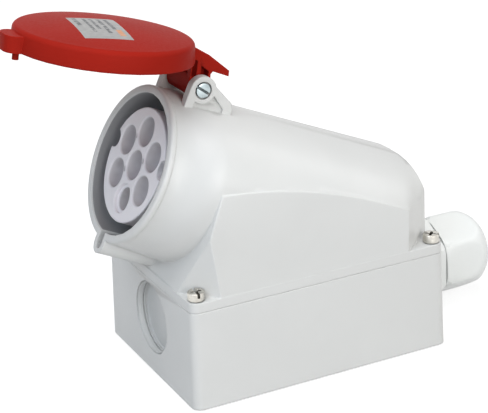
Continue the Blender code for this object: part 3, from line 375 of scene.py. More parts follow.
@dataclass(frozen=True)
class PrintedFoil:
    """Grey foil with printed bars and a small coloured field. Bars and field are boxes in the foil's own UV square."""

    name: str
    ground: Colour
    ink: Colour
    accent: Colour
    soft: Tuple[float, float] = (0.004, 0.005)

    def box_mask(self, place: Sequence[Value], low: Sequence[float], high: Sequence[float]) -> Value:
        """A soft box in the UV square.

        Args:
            place: U and V.
            low: Lowest U and V.
            high: Highest U and V.

        Returns:
            The product of the four eased sides.
        """
        sides = []
        for along, soft, start, end in zip(place, self.soft, low, high):
            sides += [along.ramp(start - soft, start + soft), along.ramp(end - soft, end + soft, 1.0, 0.0)]
        return sides[0] * sides[1] * sides[2] * sides[3]

    def make(self) -> bpy.types.Material:
        """Build the finish.

        Returns:
            The material.
        """
        maker = MaterialMaker(self.name)
        parts = maker.node("ShaderNodeSeparateXYZ", {}, {0: maker.node("ShaderNodeUVMap", {}, {}).outputs[0]})
        place = [Value(maker, parts.outputs[i]) for i in (0, 1)]
        bars = (
            ((0.08, 0.74), (0.60, 0.82)), ((0.08, 0.58), (0.78, 0.66)), ((0.08, 0.43), (0.62, 0.50)),
            ((0.08, 0.29), (0.74, 0.36)), ((0.05, 0.08), (0.46, 0.17)),
        )
        masks = [self.box_mask(place, low, high) for low, high in bars]
        ink = sum(masks[1:], masks[0])
        field_mask = self.box_mask(place, (0.62, 0.78), (0.88, 0.90))
        wear = maker.noise(0.0012, 3.0).ramp(0.35, 0.60, 0.70, 1.0)
        words = maker.noise(0.0017, 1.0).ramp(0.34, 0.42)
        ground = maker.blend(maker.noise(0.004).ramp(0.3, 0.7) * 0.3, self.ground, shade(self.ground, 0.8))
        tone = maker.blend(ink * wear * words, ground, self.ink)
        tone = maker.blend(field_mask * wear, tone, self.accent)
        maker.relief(maker.noise(0.003, 2.0), 0.00008)
        return maker.dress(Base_Color=tone, Roughness=maker.noise(0.002).ramp(0.3, 0.7, 0.30, 0.45))


class Finish(Enum):
    """Every finish on the socket, with the darker grey and lilac that are painted shade in the bore and the apertures.
    """

    HOUSING = MouldedPlastic(
        "housing_grey_plastic", (0.705, 0.709, 0.698), 0.35, grain=0.000004, wear_and_highlight=1.22, hollow_lightness=0.94, soft_edge=0.0009
    )
    # Painted shade: a darker grey for the sheet in the collar's bore, standing for the shade inside the collar.
    BORE_SHADE = MouldedPlastic("bore_painted_shade", (0.330, 0.335, 0.345), 0.50, grain=0.000004, hollow_lightness=0.8)
    # The insert's pale lilac is set lighter than the housing grey: partly its own colour, partly painted light against
    # the shade in the collar.
    INSERT = MouldedPlastic("insert_lilac_and_painted_light", (0.930, 0.905, 0.935), 0.42, grain=0.000006, hollow_lightness=0.45)
    # Painted shade: a darker copy of the insert's lilac for the sheets in the apertures.
    APERTURE_SHADE = MouldedPlastic("aperture_painted_shade", (0.750, 0.735, 0.760), 0.50, grain=0.000006, hollow_lightness=0.45)
    LID = MouldedPlastic("lid_red_plastic", (0.350, 0.017, 0.010), 0.45, clouds=0.14, wear_and_highlight=1.35, gloss=0.02)
    NYLON = MouldedPlastic("gland_white_nylon", (0.870, 0.890, 0.880), 0.34, clouds=0.04, grain=0.00003)
    RUBBER = Elastomer("seal_black_rubber")
    BRASS = PlatedMetal("contact_brass", (0.780, 0.560, 0.250), 0.30, (0.380, 0.230, 0.110))
    NICKEL = PlatedMetal("screw_nickel", (0.620, 0.600, 0.550), 0.28, (0.300, 0.270, 0.230))
    ZINC = PlatedMetal("pin_zinc", (0.480, 0.545, 0.560), 0.34, (0.250, 0.300, 0.320), 0.5)
    FOIL = PrintedFoil("lid_foil", (0.325, 0.322, 0.315), (0.030, 0.035, 0.042), (0.620, 0.230, 0.070))


class FinishShelf:
    """Makes each finish's material once."""

    def __init__(self) -> None:
        """Start empty."""
        self.made: Dict[Finish, bpy.types.Material] = {}

    def get(self, finish: Finish) -> bpy.types.Material:
        """Find or make a finish's material.

        Args:
            finish: The finish.

        Returns:
            Its material.
        """
        if finish not in self.made:
            self.made[finish] = finish.value.make()
        return self.made[finish]


# Surfaces


@dataclass
class Patch:
    """A grid of points, rows by columns by 3 in metres, and how its sides close.

    Each row closes on itself where ring is set. The first and the last row are filled where caps is set.
    """

    points: np.ndarray
    ring: bool = True
    caps: bool = True


def bend(centre: Tuple[float, float], radius: float, start: float, end: float, count: int = 7) -> np.ndarray:
    """Points on an arc: the centre plus the radius times (cos a, sin a), with a between two angles.

    Args:
        centre: Middle of the arc.
        radius: Its radius.
        start: First angle in degrees.
        end: Last angle in degrees.
        count: Number of points.

    Returns:
        Array of points.
    """
    turn = np.radians(np.linspace(start, end, count))
    return np.stack([centre[0] + radius * np.cos(turn), centre[1] + radius * np.sin(turn)], axis=1)


def chain(*runs: Sequence[Sequence[float]]) -> np.ndarray:
    """Runs of points as one array."""
    return np.concatenate([np.asarray(run, float).reshape(-1, 2) for run in runs])


def placed(points: np.ndarray, matrix: Matrix) -> np.ndarray:
    """Points of any grid carried by a 4 by 4 matrix."""
    m = np.array(matrix)
    return points @ m[:3, :3].T + m[:3, 3]


def swept(radius: np.ndarray, turn: np.ndarray, height: np.ndarray) -> np.ndarray:
    """Grid of (r cos a, r sin a, height), from arrays that spread over one another."""
    x, y = radius * np.cos(turn), radius * np.sin(turn)
    return np.stack([x, y, np.broadcast_to(height, x.shape)], axis=-1)


def revolved(profile: np.ndarray, steps: int = 96) -> np.ndarray:
    """Rows of a profile of (radius, height) turned about Z: x is r cos a, y is r sin a, z is the height.

    Args:
        profile: Array of points.
        steps: Columns round the axis.

    Returns:
        Grid of points.
    """
    turn = np.linspace(0.0, math.tau, steps, endpoint=False)
    return swept(profile[:, :1], turn, profile[:, 1:2])


def closed(profile: np.ndarray) -> np.ndarray:
    """A profile that ends where it starts."""
    return np.concatenate([profile, profile[:1]])


def rows_of(outline: np.ndarray, heights: Sequence[float]) -> np.ndarray:
    """One outline of (x, y) points set at each height."""
    return np.stack([np.column_stack([outline, np.full(len(outline), height)]) for height in heights])


def tube(path: np.ndarray, radius: np.ndarray, steps: int = 12) -> np.ndarray:
    """Rings round a path that never runs along X: the path plus its radius times (cos a, sin a) in two normals.

    Args:
        path: Points along the middle.
        radius: Radius at each point.
        steps: Points in a ring.

    Returns:
        Grid of points.
    """
    ahead = np.gradient(path, axis=0)
    across = np.cross(ahead, [1.0, 0.0, 0.0])
    across /= np.linalg.norm(across, axis=1)[:, None]
    other = np.cross(ahead / np.linalg.norm(ahead, axis=1)[:, None], across)
    turn = np.linspace(0.0, math.tau, steps, endpoint=False)[None, :, None]
    ring = across[:, None, :] * np.cos(turn) + other[:, None, :] * np.sin(turn)
    return path[:, None, :] + radius[:, None, None] * ring


def mesh_points(mesh: bpy.types.Mesh) -> np.ndarray:
    """Read a mesh's vertices.

    Args:
        mesh: The mesh.

    Returns:
        Array of points.
    """
    co = np.empty(len(mesh.vertices) * 3)
    mesh.vertices.foreach_get("co", co)
    return co.reshape(-1, 3)


def move_points(mesh: bpy.types.Mesh, points: np.ndarray) -> None:
    """Set the places of a mesh's vertices."""
    mesh.vertices.foreach_set("co", points.ravel())
    mesh.update()


class Surfaces:
    """Turns numpy grids of points into closed, smooth pieces that ride on a body."""

    def __init__(self, shelf: FinishShelf) -> None:
        """Keep the shelf of finishes."""
        self.shelf = shelf

    def skin(self, name: str, patches: Sequence[Patch], sharp: float = 38.0) -> bpy.types.Object:
        """Skin grids of points as one object.

        Args:
            name: The piece's name.
            patches: The grids.
            sharp: Angle in degrees from which an edge stays sharp.

        Returns:
            The new object, with a UV map that runs round the rows in U and along them in V.
        """
        points, faces, uvs, first = [], [], [], 0
        for patch in patches:
            rows, columns = patch.points.shape[:2]
            across = columns if patch.ring else columns - 1
            row, column = first + np.arange(rows - 1)[:, None] * columns, np.arange(across)
            low, beside = (row + column).ravel(), (row + (column + 1) % columns).ravel()
            faces += np.stack([low, beside, beside + columns, low + columns], axis=1).tolist()
            u, v = np.meshgrid(np.arange(across) / across, np.arange(rows - 1) / (rows - 1))
            corners = [(0, 0), (1, 0), (1, 1), (0, 1)]
            quads = [np.stack([u + a / across, v + b / (rows - 1)], -1) for a, b in corners]
            uvs.append(np.stack(quads, axis=2).reshape(-1, 2))
            if patch.caps and patch.ring:
                last = first + (rows - 1) * columns
                faces += [list(range(first, first + columns))[::-1], list(range(last, last + columns))]
                uvs.append(np.zeros((2 * columns, 2)))
            points.append(patch.points.reshape(-1, 3))
            first += rows * columns
        mesh = bpy.data.meshes.new(name)
        mesh.from_pydata(np.concatenate(points).tolist(), [], faces)
        layer = mesh.uv_layers.new(name="surface")
        layer.data.foreach_set("uv", np.concatenate(uvs).astype(np.float32).ravel())
        return self.tidy(name, mesh, sharp)

    def pierced(
        self, name: str, outer: np.ndarray, wells: Sequence[np.ndarray], sharp: float = 30.0
    ) -> bpy.types.Object:
        """Skin a solid with a flat front and a flat back, through which or into which wells go.

        Args:
            name: The piece's name.
            outer: Grid of closed rows from the front face's edge to the back face's edge.
            wells: Grids of closed rows from each lip inwards. One that ends off the back plane gets a floor.
            sharp: Angle in degrees from which an edge stays sharp.

        Returns:
            The new object.
        """
        bm = bmesh.new()
        front: List[bmesh.types.BMEdge] = []
        back: List[bmesh.types.BMEdge] = []
        for index, grid in enumerate([outer, *wells]):
            rows = [[bm.verts.new(point) for point in row] for row in grid.tolist()]
            for upper, lower in zip(rows, rows[1:]):
                for i in range(len(upper)):
                    j = (i + 1) % len(upper)
                    bm.faces.new((upper[i], upper[j], lower[j], lower[i]))
            front += [bm.edges.get((rows[0][i], rows[0][i - 1])) for i in range(len(rows[0]))]
            if index == 0 or abs(grid[-1, 0, 2] - outer[-1, 0, 2]) < SAME_LEVEL:
                back += [bm.edges.get((rows[-1][i], rows[-1][i - 1])) for i in range(len(rows[-1]))]
            else:
                bm.faces.new(rows[-1])
        for edges in (front, back):
            bmesh.ops.triangle_fill(bm, use_beauty=True, use_dissolve=False, edges=edges)
        mesh = bpy.data.meshes.new(name)
        bm.to_mesh(mesh)
        bm.free()
        return self.tidy(name, mesh, sharp)

    def smooth(self, mesh: bpy.types.Mesh, sharp: float) -> None:
        """Smooth a mesh, and keep the edges sharp from an angle in degrees."""
        mesh.polygons.foreach_set("use_smooth", np.ones(len(mesh.polygons), bool))
        mesh.set_sharp_from_angle(angle=math.radians(sharp))

    def linked(self, name: str, mesh: bpy.types.Mesh, sharp: float) -> bpy.types.Object:
        """Smooth a mesh up to an angle and link an object of it.

        Args:
            name: The object's name.
            mesh: The mesh.
            sharp: Angle in degrees from which an edge stays sharp.

        Returns:
            The new object.
        """
        self.smooth(mesh, sharp)
        piece = bpy.data.objects.new(name, mesh)
        bpy.context.scene.collection.objects.link(piece)
        return piece

    def tidy(self, name: str, mesh: bpy.types.Mesh, sharp: float = 38.0) -> bpy.types.Object:
        """Merge doubles, turn the faces out and link an object.

        Args:
            name: The object's name.
            mesh: The mesh.
            sharp: Angle in degrees from which an edge stays sharp.

        Returns:
            The new object.
        """
        bm = bmesh.new()
        bm.from_mesh(mesh)
        bmesh.ops.remove_doubles(bm, verts=bm.verts, dist=MERGE)
        bmesh.ops.dissolve_degenerate(bm, edges=bm.edges, dist=SLIVER)
        bmesh.ops.recalc_face_normals(bm, faces=bm.faces)
        bm.to_mesh(mesh)
        bm.free()
        return self.linked(name, mesh, sharp)

    def copy_of(self, node: str, name: str, sharp: float = 30.0, rim: float = 0.0) -> bpy.types.Object:
        """A merged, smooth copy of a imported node, with flat areas made whole.

        Args:
            node: The node.
            name: The copy's name.
            sharp: Angle in degrees from which an edge stays sharp.
            rim: How far the node's topmost points are raised.

        Returns:
            The new object.
        """
        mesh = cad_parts[node].data.copy()
        mesh.materials.clear()
        bm = bmesh.new()
        bm.from_mesh(mesh)
        bmesh.ops.remove_doubles(bm, verts=bm.verts, dist=MERGE)
        bmesh.ops.dissolve_limit(bm, angle_limit=math.radians(0.5), verts=bm.verts, edges=bm.edges)
        top = max(vert.co.z for vert in bm.verts)
        for vert in bm.verts:
            if vert.co.z > top - TOP_BAND:
                vert.co.z += rim
        bm.to_mesh(mesh)
        bm.free()
        mesh.name = name
        return self.linked(name, mesh, sharp)

    def seat(
        self, piece: bpy.types.Object, finish: Finish, body: str, slot: str, stands_for: Sequence[str] = ()
    ) -> bpy.types.Object:
        """Dress a piece and let it ride.

        Args:
            piece: The finished object.
            finish: Its finish.
            body: The body that it rides on.
            slot: The record's material slot, not used.
            stands_for: Nodes that it replaces.

        Returns:
            The same object.
        """
        piece.data.materials.clear()
        piece.data.materials.append(self.shelf.get(finish))
        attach(piece, body)
        if stands_for:
            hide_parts(*stands_for)
        LOG.info("piece %s: %d faces, %s", piece.name, len(piece.data.polygons), finish.name.lower())
        return piece

    def dress_node(self, node: str, name: str, finish: Finish, body: str, slot: str) -> None:
        """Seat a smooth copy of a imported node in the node's place."""
        self.seat(self.copy_of(node, name), finish, body, slot, [node])


# The socket


@dataclass
class SocketFrame:
    """The places that the sub-assemblies share, in metres: collar axis, hinge axis and gland axis."""

    tilt: float = math.radians(25.84)
    rim_y: float = -0.06244
    rim_z: float = 0.09143
    hinge_from_axis: float = 0.0377
    hinge_behind_rim: float = 0.0125
    lid_lean: float = math.radians(10.8)
    gland_z: float = 0.0194

    def collar(self) -> Matrix:
        """Z out along the collar's axis, Y up across it, origin at the middle of the rim."""
        return Matrix.Translation((0.0, self.rim_y, self.rim_z)) @ Matrix.Rotation(math.pi / 2 - self.tilt, 4, "X")

    def pin(self) -> Vector:
        """Middle of the hinge axis."""
        return self.collar() @ Vector((0.0, self.hinge_from_axis, -self.hinge_behind_rim))

    def lid(self) -> Matrix:
        """Origin on the hinge axis, Y away from the lid's middle, Z out of its face."""
        return Matrix.Translation(self.pin()) @ Matrix.Rotation(-self.lid_lean, 4, "X")

    def disc(self) -> Matrix:
        """The lid's frame moved to the middle of its disc."""
        return self.lid() @ Matrix.Translation((0.0, -self.hinge_from_axis, 0.0))

    def gland(self) -> Matrix:
        """Z along the gland, Y up."""
        axes = Matrix(((-1, 0, 0, 0), (0, 0, 1, 0), (0, 1, 0, 0), (0, 0, 0, 1)))
        return Matrix.Translation((0.0, 0.0, self.gland_z)) @ axes


@dataclass
class Housing:
    """Base box and moulded cover with the collar, its round lip and the threaded knock-out."""

    surfaces: Surfaces
    places: SocketFrame
    lip_radius: float = 0.03214
    lip_bore: float = 0.02884
    lip_lift: float = 0.00004
    lip_round: float = 0.0011
    lip_back: float = -0.0022
    bore_depth: float = -0.0215
    bore_skin: float = 0.00004
    bore_wall: float = 0.0010
    bore_nib: float = 0.0001
    slot_half: float = 0.00228
    knockout: Tuple[float, float] = (0.0020, 0.0242)
    hole_radius: float = 0.0153
    thread_core: float = 0.0135
    liner_radius: float = 0.0147
    groove: float = 0.00038
    groove_depths: Tuple[float, float] = (0.0030, 0.0041)
    draft: float = 0.022
    knockout_floor: float = 0.0050
    wall_y: float = -0.05782
    seam: float = 0.00024
    crease: Tuple[Tuple[float, float], Tuple[float, float]] = ((-0.0415, 0.0867), (0.0398, 0.0637))
    sag: float = 0.0045
    foot: Tuple[float, float] = (-0.04759, 0.07042)
    half_width: float = 0.04275
    soft_wall: float = 0.00072
    cover_sharp: float = 18.0

    def around(self, name: str, profile: np.ndarray, finish: Finish) -> None:
        """Turn a closed profile about the collar's axis from one side of the key slot to the other.

        The end angle is the arcsine of the slot's half width over the radius, so the ends are parallel planes.

        Args:
            name: The piece's name.
            profile: Array of (radius, height).
            finish: The piece's finish.
        """
        radius, height = profile[:, 0], profile[:, 1]
        off = np.arcsin(self.slot_half / radius)
        share = np.linspace(0.0, 1.0, 193)[:, None]
        turn = 1.5 * math.pi + off + share * (math.tau - 2 * off)
        points = placed(swept(radius, turn, height), self.places.collar())
        piece = self.surfaces.skin(name, [Patch(points)], 30.0)
        self.surfaces.seat(piece, finish, "housing", "moulded_grey")

    def lip(self) -> None:
        """Lay a round lip over the collar, and line its bore down to the insert's seat with a dark sheet: painted shade
        inside the collar.
        """
        inner = self.lip_round * 0.8
        profile = chain(
            [(self.lip_radius, self.lip_back)],
            bend((self.lip_radius - self.lip_round, self.lip_lift - self.lip_round), self.lip_round, 0, 90),
            bend((self.lip_bore + inner, self.lip_lift - inner), inner, 90, 180),
            [(self.lip_bore, -inner - 0.0003), (self.lip_bore + 0.001, self.lip_back)],
        )
        self.around("collar_lip", profile, Finish.HOUSING)
        # Painted shade: a dark sheet lines the bore from just inside the lip down to the insert's seat.
        thin, top, nib = self.lip_bore - self.bore_skin, self.lip_lift - inner, self.bore_nib
        thick = thin + self.bore_wall
        bore = [
            (thin + nib, top + nib), (thin, top), (thin, self.bore_depth), (thick, self.bore_depth), (thick, top - nib),
        ]
        self.around("collar_bore_shade", np.array(bore), Finish.BORE_SHADE)

    def on_outline(self, point: Vector) -> bool:
        """Tell whether a point is on a side wall's front edge or bowed top edge.

        The top's height is a straight fall plus four times the sag times t (1 - t). The walls lean in by the draft.

        Args:
            point: The place.

        Returns:
            True on the upper outline of either wall.
        """
        (front_y, front_z), (rear_y, rear_z) = self.crease
        t = (point.y - front_y) / (rear_y - front_y)
        bow = front_z + (rear_z - front_z) * t + 4 * self.sag * t * (1 - t)
        line = self.foot[1] + (front_z - self.foot[1]) * (point.y - self.foot[0]) / (front_y - self.foot[0])
        on_wall = abs(abs(point.x) - self.half_width + self.draft * point.z) < 0.0001
        on_top = -0.001 < t < 1.02 and abs(point.z - bow) < 0.0002
        on_front = self.foot[0] - 0.0001 < point.y < front_y + 0.0001 and abs(point.z - line) < 0.0004
        return on_wall and (on_top or on_front)

    def soften_walls(self, piece: bpy.types.Object) -> None:
        """Round the front edge and the bowed top edge of both side walls.

        Args:
            piece: The copied cover.
        """
        bm = bmesh.new()
        bm.from_mesh(piece.data)
        edges = [edge for edge in bm.edges if all(self.on_outline(vert.co) for vert in edge.verts)]
        bmesh.ops.bevel(
            bm, geom=edges, offset=self.soft_wall, segments=4, profile=0.5, affect="EDGES", clamp_overlap=True
        )
        LOG.info("rounded %d wall edges", len(edges))
        bm.to_mesh(piece.data)
        bm.free()
        self.surfaces.smooth(piece.data, self.cover_sharp)

    def smooth_hole(self, piece: bpy.types.Object) -> None:
        """Push the facets of the knock-out's rough thread out to one radius, which the liner covers.

        Args:
            piece: The copied box.
        """
        co = mesh_points(piece.data)
        off = co[:, [0, 2]] - self.knockout
        radius = np.maximum(np.hypot(off[:, 0], off[:, 1]), 1e-6)
        front = co[:, 1] < self.wall_y + self.knockout_floor + 0.0008
        chosen = (radius > self.thread_core) & (radius < self.hole_radius + 0.0001) & front
        pushed = self.knockout + off * (self.hole_radius / radius)[:, None]
        co[:, [0, 2]] = np.where(chosen[:, None], pushed, co[:, [0, 2]])
        move_points(piece.data, co)

    def thread(self) -> None:
        """Line the knock-out: a plain bore that ends in fine grooves, and its floor.

        The profile is turned about the wall's normal. The wall leans, so the depth grows with the height by the draft.
        """
        bore, floor, groove = self.liner_radius, self.knockout_floor - 0.0002, self.groove
        cuts = [
            (bore + side, depth + across)
            for depth in self.groove_depths for side, across in ((0.0, -groove / 2), (groove, 0.0), (0.0, groove / 2))
        ]
        profile = chain(
            [(bore + 0.00028, 0.0003), (bore + 0.00008, 0.0003), (bore, 0.0006)], cuts,
            [(bore, floor), (0.0, floor), (0.0, floor + 0.0005), (bore + 0.0010, floor + 0.0005)],
            [(bore + 0.0010, floor - 0.0008), (bore + 0.00028, floor - 0.0010)],
        )
        turned = revolved(closed(profile))
        height = turned[..., 1] + self.knockout[1]
        deep = turned[..., 2] + self.wall_y + self.draft * turned[..., 1]
        points = np.stack([turned[..., 0] + self.knockout[0], deep, height], axis=-1)
        piece = self.surfaces.skin("knockout_liner", [Patch(points, caps=False)], 30.0)
        self.surfaces.seat(piece, Finish.HOUSING, "housing", "moulded_grey")

    def build(self) -> None:
        """Copy the moulded nodes, with the box's rim raised to close the seam, and add the round details."""
        box = self.surfaces.copy_of("base_box", "base_box_moulding", rim=self.seam)
        self.smooth_hole(box)
        self.surfaces.seat(box, Finish.HOUSING, "housing", "moulded_grey", ["base_box"])
        cover = self.surfaces.copy_of("cover_housing", "cover_moulding", self.cover_sharp)
        self.soften_walls(cover)
        self.surfaces.seat(cover, Finish.HOUSING, "housing", "moulded_grey", ["cover_housing"])
        self.surfaces.dress_node("rim_gasket", "rim_gasket_ring", Finish.RUBBER, "housing", "rubber_black")
        self.lip()
        self.thread()


@dataclass
class Contacts:
    """Insert, sleeves, terminal block and their screws."""

    surfaces: Surfaces
    places: SocketFrame
    radius: float = 0.0234
    face: float = -0.00258
    throat: float = -0.0362
    flange: Tuple[float, float, float] = (0.0290, -0.0403, -0.0430)
    notch_radius: float = 0.0040
    notch_angles: Tuple[float, float] = (12.0, 168.0)
    aperture: float = 0.00605
    aperture_depth: float = 0.0080
    earth: float = 0.0047
    earth_step: float = 0.0016
    earth_tail: float = 0.0043
    pole_tail: float = 0.0036
    slit_depth: float = 0.0060
    circle: float = 0.01405
    chamfer: float = 0.00035
    slits: Tuple[Tuple[float, ...], ...] = (
        (0.00703, 30.0, 0.00050, 0.0013), (0.00703, 210.0, 0.00050, 0.0013), (0.01217, 120.0, 0.0012, 0.00042),
    )
    poles: Tuple[str, ...] = ("earth", "pole_1", "pole_2", "pole_3", "pole_4", "pole_5", "pole_6")

    def outline(self, radius: float, notch: float) -> np.ndarray:
        """A circle with round bites: arcs of the circle, and arcs of each bite's own circle inside it.

        A bite's middle is on the circle, so it opens over twice the arcsine of its radius over the circle's diameter.

        Args:
            radius: The circle's radius.
            notch: A bite's radius.

        Returns:
            Array of points.
        """
        half = math.degrees(2 * math.asin(notch / (2 * radius)))
        runs = []
        for here, there in zip(self.notch_angles, (self.notch_angles[1], self.notch_angles[0] + 360.0)):
            middle = (radius * math.cos(math.radians(here)), radius * math.sin(math.radians(here)))
            runs.append(bend(middle, notch, here - 90 - half / 2, here - 270 + half / 2, 17)[:-1])
            runs.append(bend((0.0, 0.0), radius, here + half, there - half, 57)[:-1])
        return np.concatenate(runs)

    def well(self, x: float, y: float, profile: np.ndarray, steps: int = 48) -> np.ndarray:
        """A profile of (radius, height) turned about its own axis at a place on the face."""
        return placed(revolved(profile, steps), Matrix.Translation((x, y, 0.0)))

    def insert(self) -> None:
        """Make the insert: chamfered apertures, one of them stepped, two notches and three slits in the webs."""
        collar, back, edge = self.places.collar(), self.flange[2], self.chamfer
        side = self.outline(self.radius, self.notch_radius)
        round_side = side / np.linalg.norm(side, axis=1)[:, None]
        outer = np.concatenate([
            rows_of(self.outline(self.radius - edge, self.notch_radius), [self.face]),
            rows_of(side, [self.face - edge, self.throat]),
            rows_of(round_side * self.radius, [self.throat - 0.0001, self.flange[1]]),
            rows_of(round_side * self.flange[0], [self.flange[1], back]),
        ])
        lip = [(self.aperture + edge, self.face), (self.aperture, self.face - edge)]
        floor, step = self.face - self.aperture_depth, self.face - self.earth_step
        wells, shade_sheets = [], []
        for index in range(7):
            turn = math.radians(270 + 60 * (index - 1))
            x, y = (0.0, 0.0) if index == 0 else (self.circle * math.cos(turn), self.circle * math.sin(turn))
            inside, top = (self.earth, step) if index == 1 else (self.aperture, self.face - edge)
            # Painted shade: a thin sheet of the darker lilac lines each aperture's wall.
            thin, thick = inside - 0.00004, inside + 0.0003
            ring = [(thin, top - 0.0002), (thin, floor), (thick, floor), (thick, top - 0.0004)]
            shade_sheets.append(Patch(placed(self.well(x, y, closed(np.array(ring))), collar), caps=False))
            stepped = [(self.aperture, step), (inside, step), (inside, floor)]
            stepped += [(self.earth_tail, floor), (self.earth_tail, back)]
            plain = [(self.aperture, floor), (self.pole_tail, floor), (self.pole_tail, back)]
            wells.append(self.well(x, y, chain(lip, stepped if index == 1 else plain)))
        turn = np.linspace(0.0, math.tau, 20, endpoint=False)
        for radius, degrees, wide, long in self.slits:
            slot = np.column_stack([radius + wide * np.cos(turn), long * np.sin(turn)])
            rows = rows_of(slot, [self.face, self.face - self.slit_depth])
            wells.append(placed(rows, Matrix.Rotation(math.radians(degrees), 4, "Z")))
        piece = self.surfaces.pierced("insert_moulding", outer, wells)
        piece.data.transform(collar)
        self.surfaces.seat(piece, Finish.INSERT, "housing", "moulded_lilac", ["contact_insert"])
        # The aperture sheets take the darker lilac: painted shade in the apertures.
        self.surfaces.seat(self.surfaces.skin("aperture_shade_sheets", shade_sheets), Finish.APERTURE_SHADE, "housing", "moulded_lilac")

    def build(self) -> None:
        """Make the insert and dress every piece behind it."""
        self.insert()
        dress = self.surfaces.dress_node
        dress("terminal_block", "terminal_block_moulding", Finish.INSERT, "housing", "moulded_lilac")
        for pole in self.poles:
            dress(f"contact_sleeve_{pole}", f"sleeve_{pole}", Finish.BRASS, "housing", "brass")
            dress(f"terminal_screw_{pole}", f"clamp_screw_{pole}", Finish.ZINC, "housing", "zinc_steel")


@dataclass
class SlottedHead:
    """A screw that stands on Z = 0: a round shank, and a head with one slot and, where arm is set, a short cross."""

    radius: float
    height: float
    shank: float
    length: float
    slot: float
    floor: float
    arm: float = 0.0
    soft: float = 0.00035

    def land(self, radius: float) -> np.ndarray:
        """Outline of the half of the head on the +Y side of the slot, with a bite for the cross.

        Args:
            radius: The head's radius at this level.

        Returns:
            Array of points.
        """
        near, bite = self.slot / 2, max(self.arm, self.slot / 2)
        end = math.degrees(math.asin(near / radius))
        arc = bend((0.0, 0.0), radius, end, 180 - end, 33)
        return chain(arc, [(-near, near), (-near, bite), (near, bite), (near, near)])

    def patches(self, matrix: Matrix) -> List[Patch]:
        """Make the grids of the shank with the lower head, and of the two lands.

        Args:
            matrix: The screw's place.

        Returns:
            The three patches.
        """
        body = chain(
            [(0.0, -self.length), (self.shank * 0.7, -self.length)],
            [(self.shank, -self.length + self.shank * 0.4), (self.shank, 0.0)],
            bend((self.radius - self.soft * 0.5, self.soft * 0.5), self.soft * 0.5, -90, 0, 4),
            [(self.radius, self.floor), (0.0, self.floor)],
        )
        found = [Patch(placed(revolved(body, 64), matrix), caps=False)]
        edge = bend((self.radius - self.soft, self.height - self.soft), self.soft, 0, 80, 5)
        levels = [(self.radius, self.floor - 0.0001), *edge.tolist()]
        for turn in (0.0, math.pi):
            rows = np.concatenate([rows_of(self.land(radius), [height]) for radius, height in levels])
            found.append(Patch(placed(rows, matrix @ Matrix.Rotation(turn, 4, "Z"))))
        return found


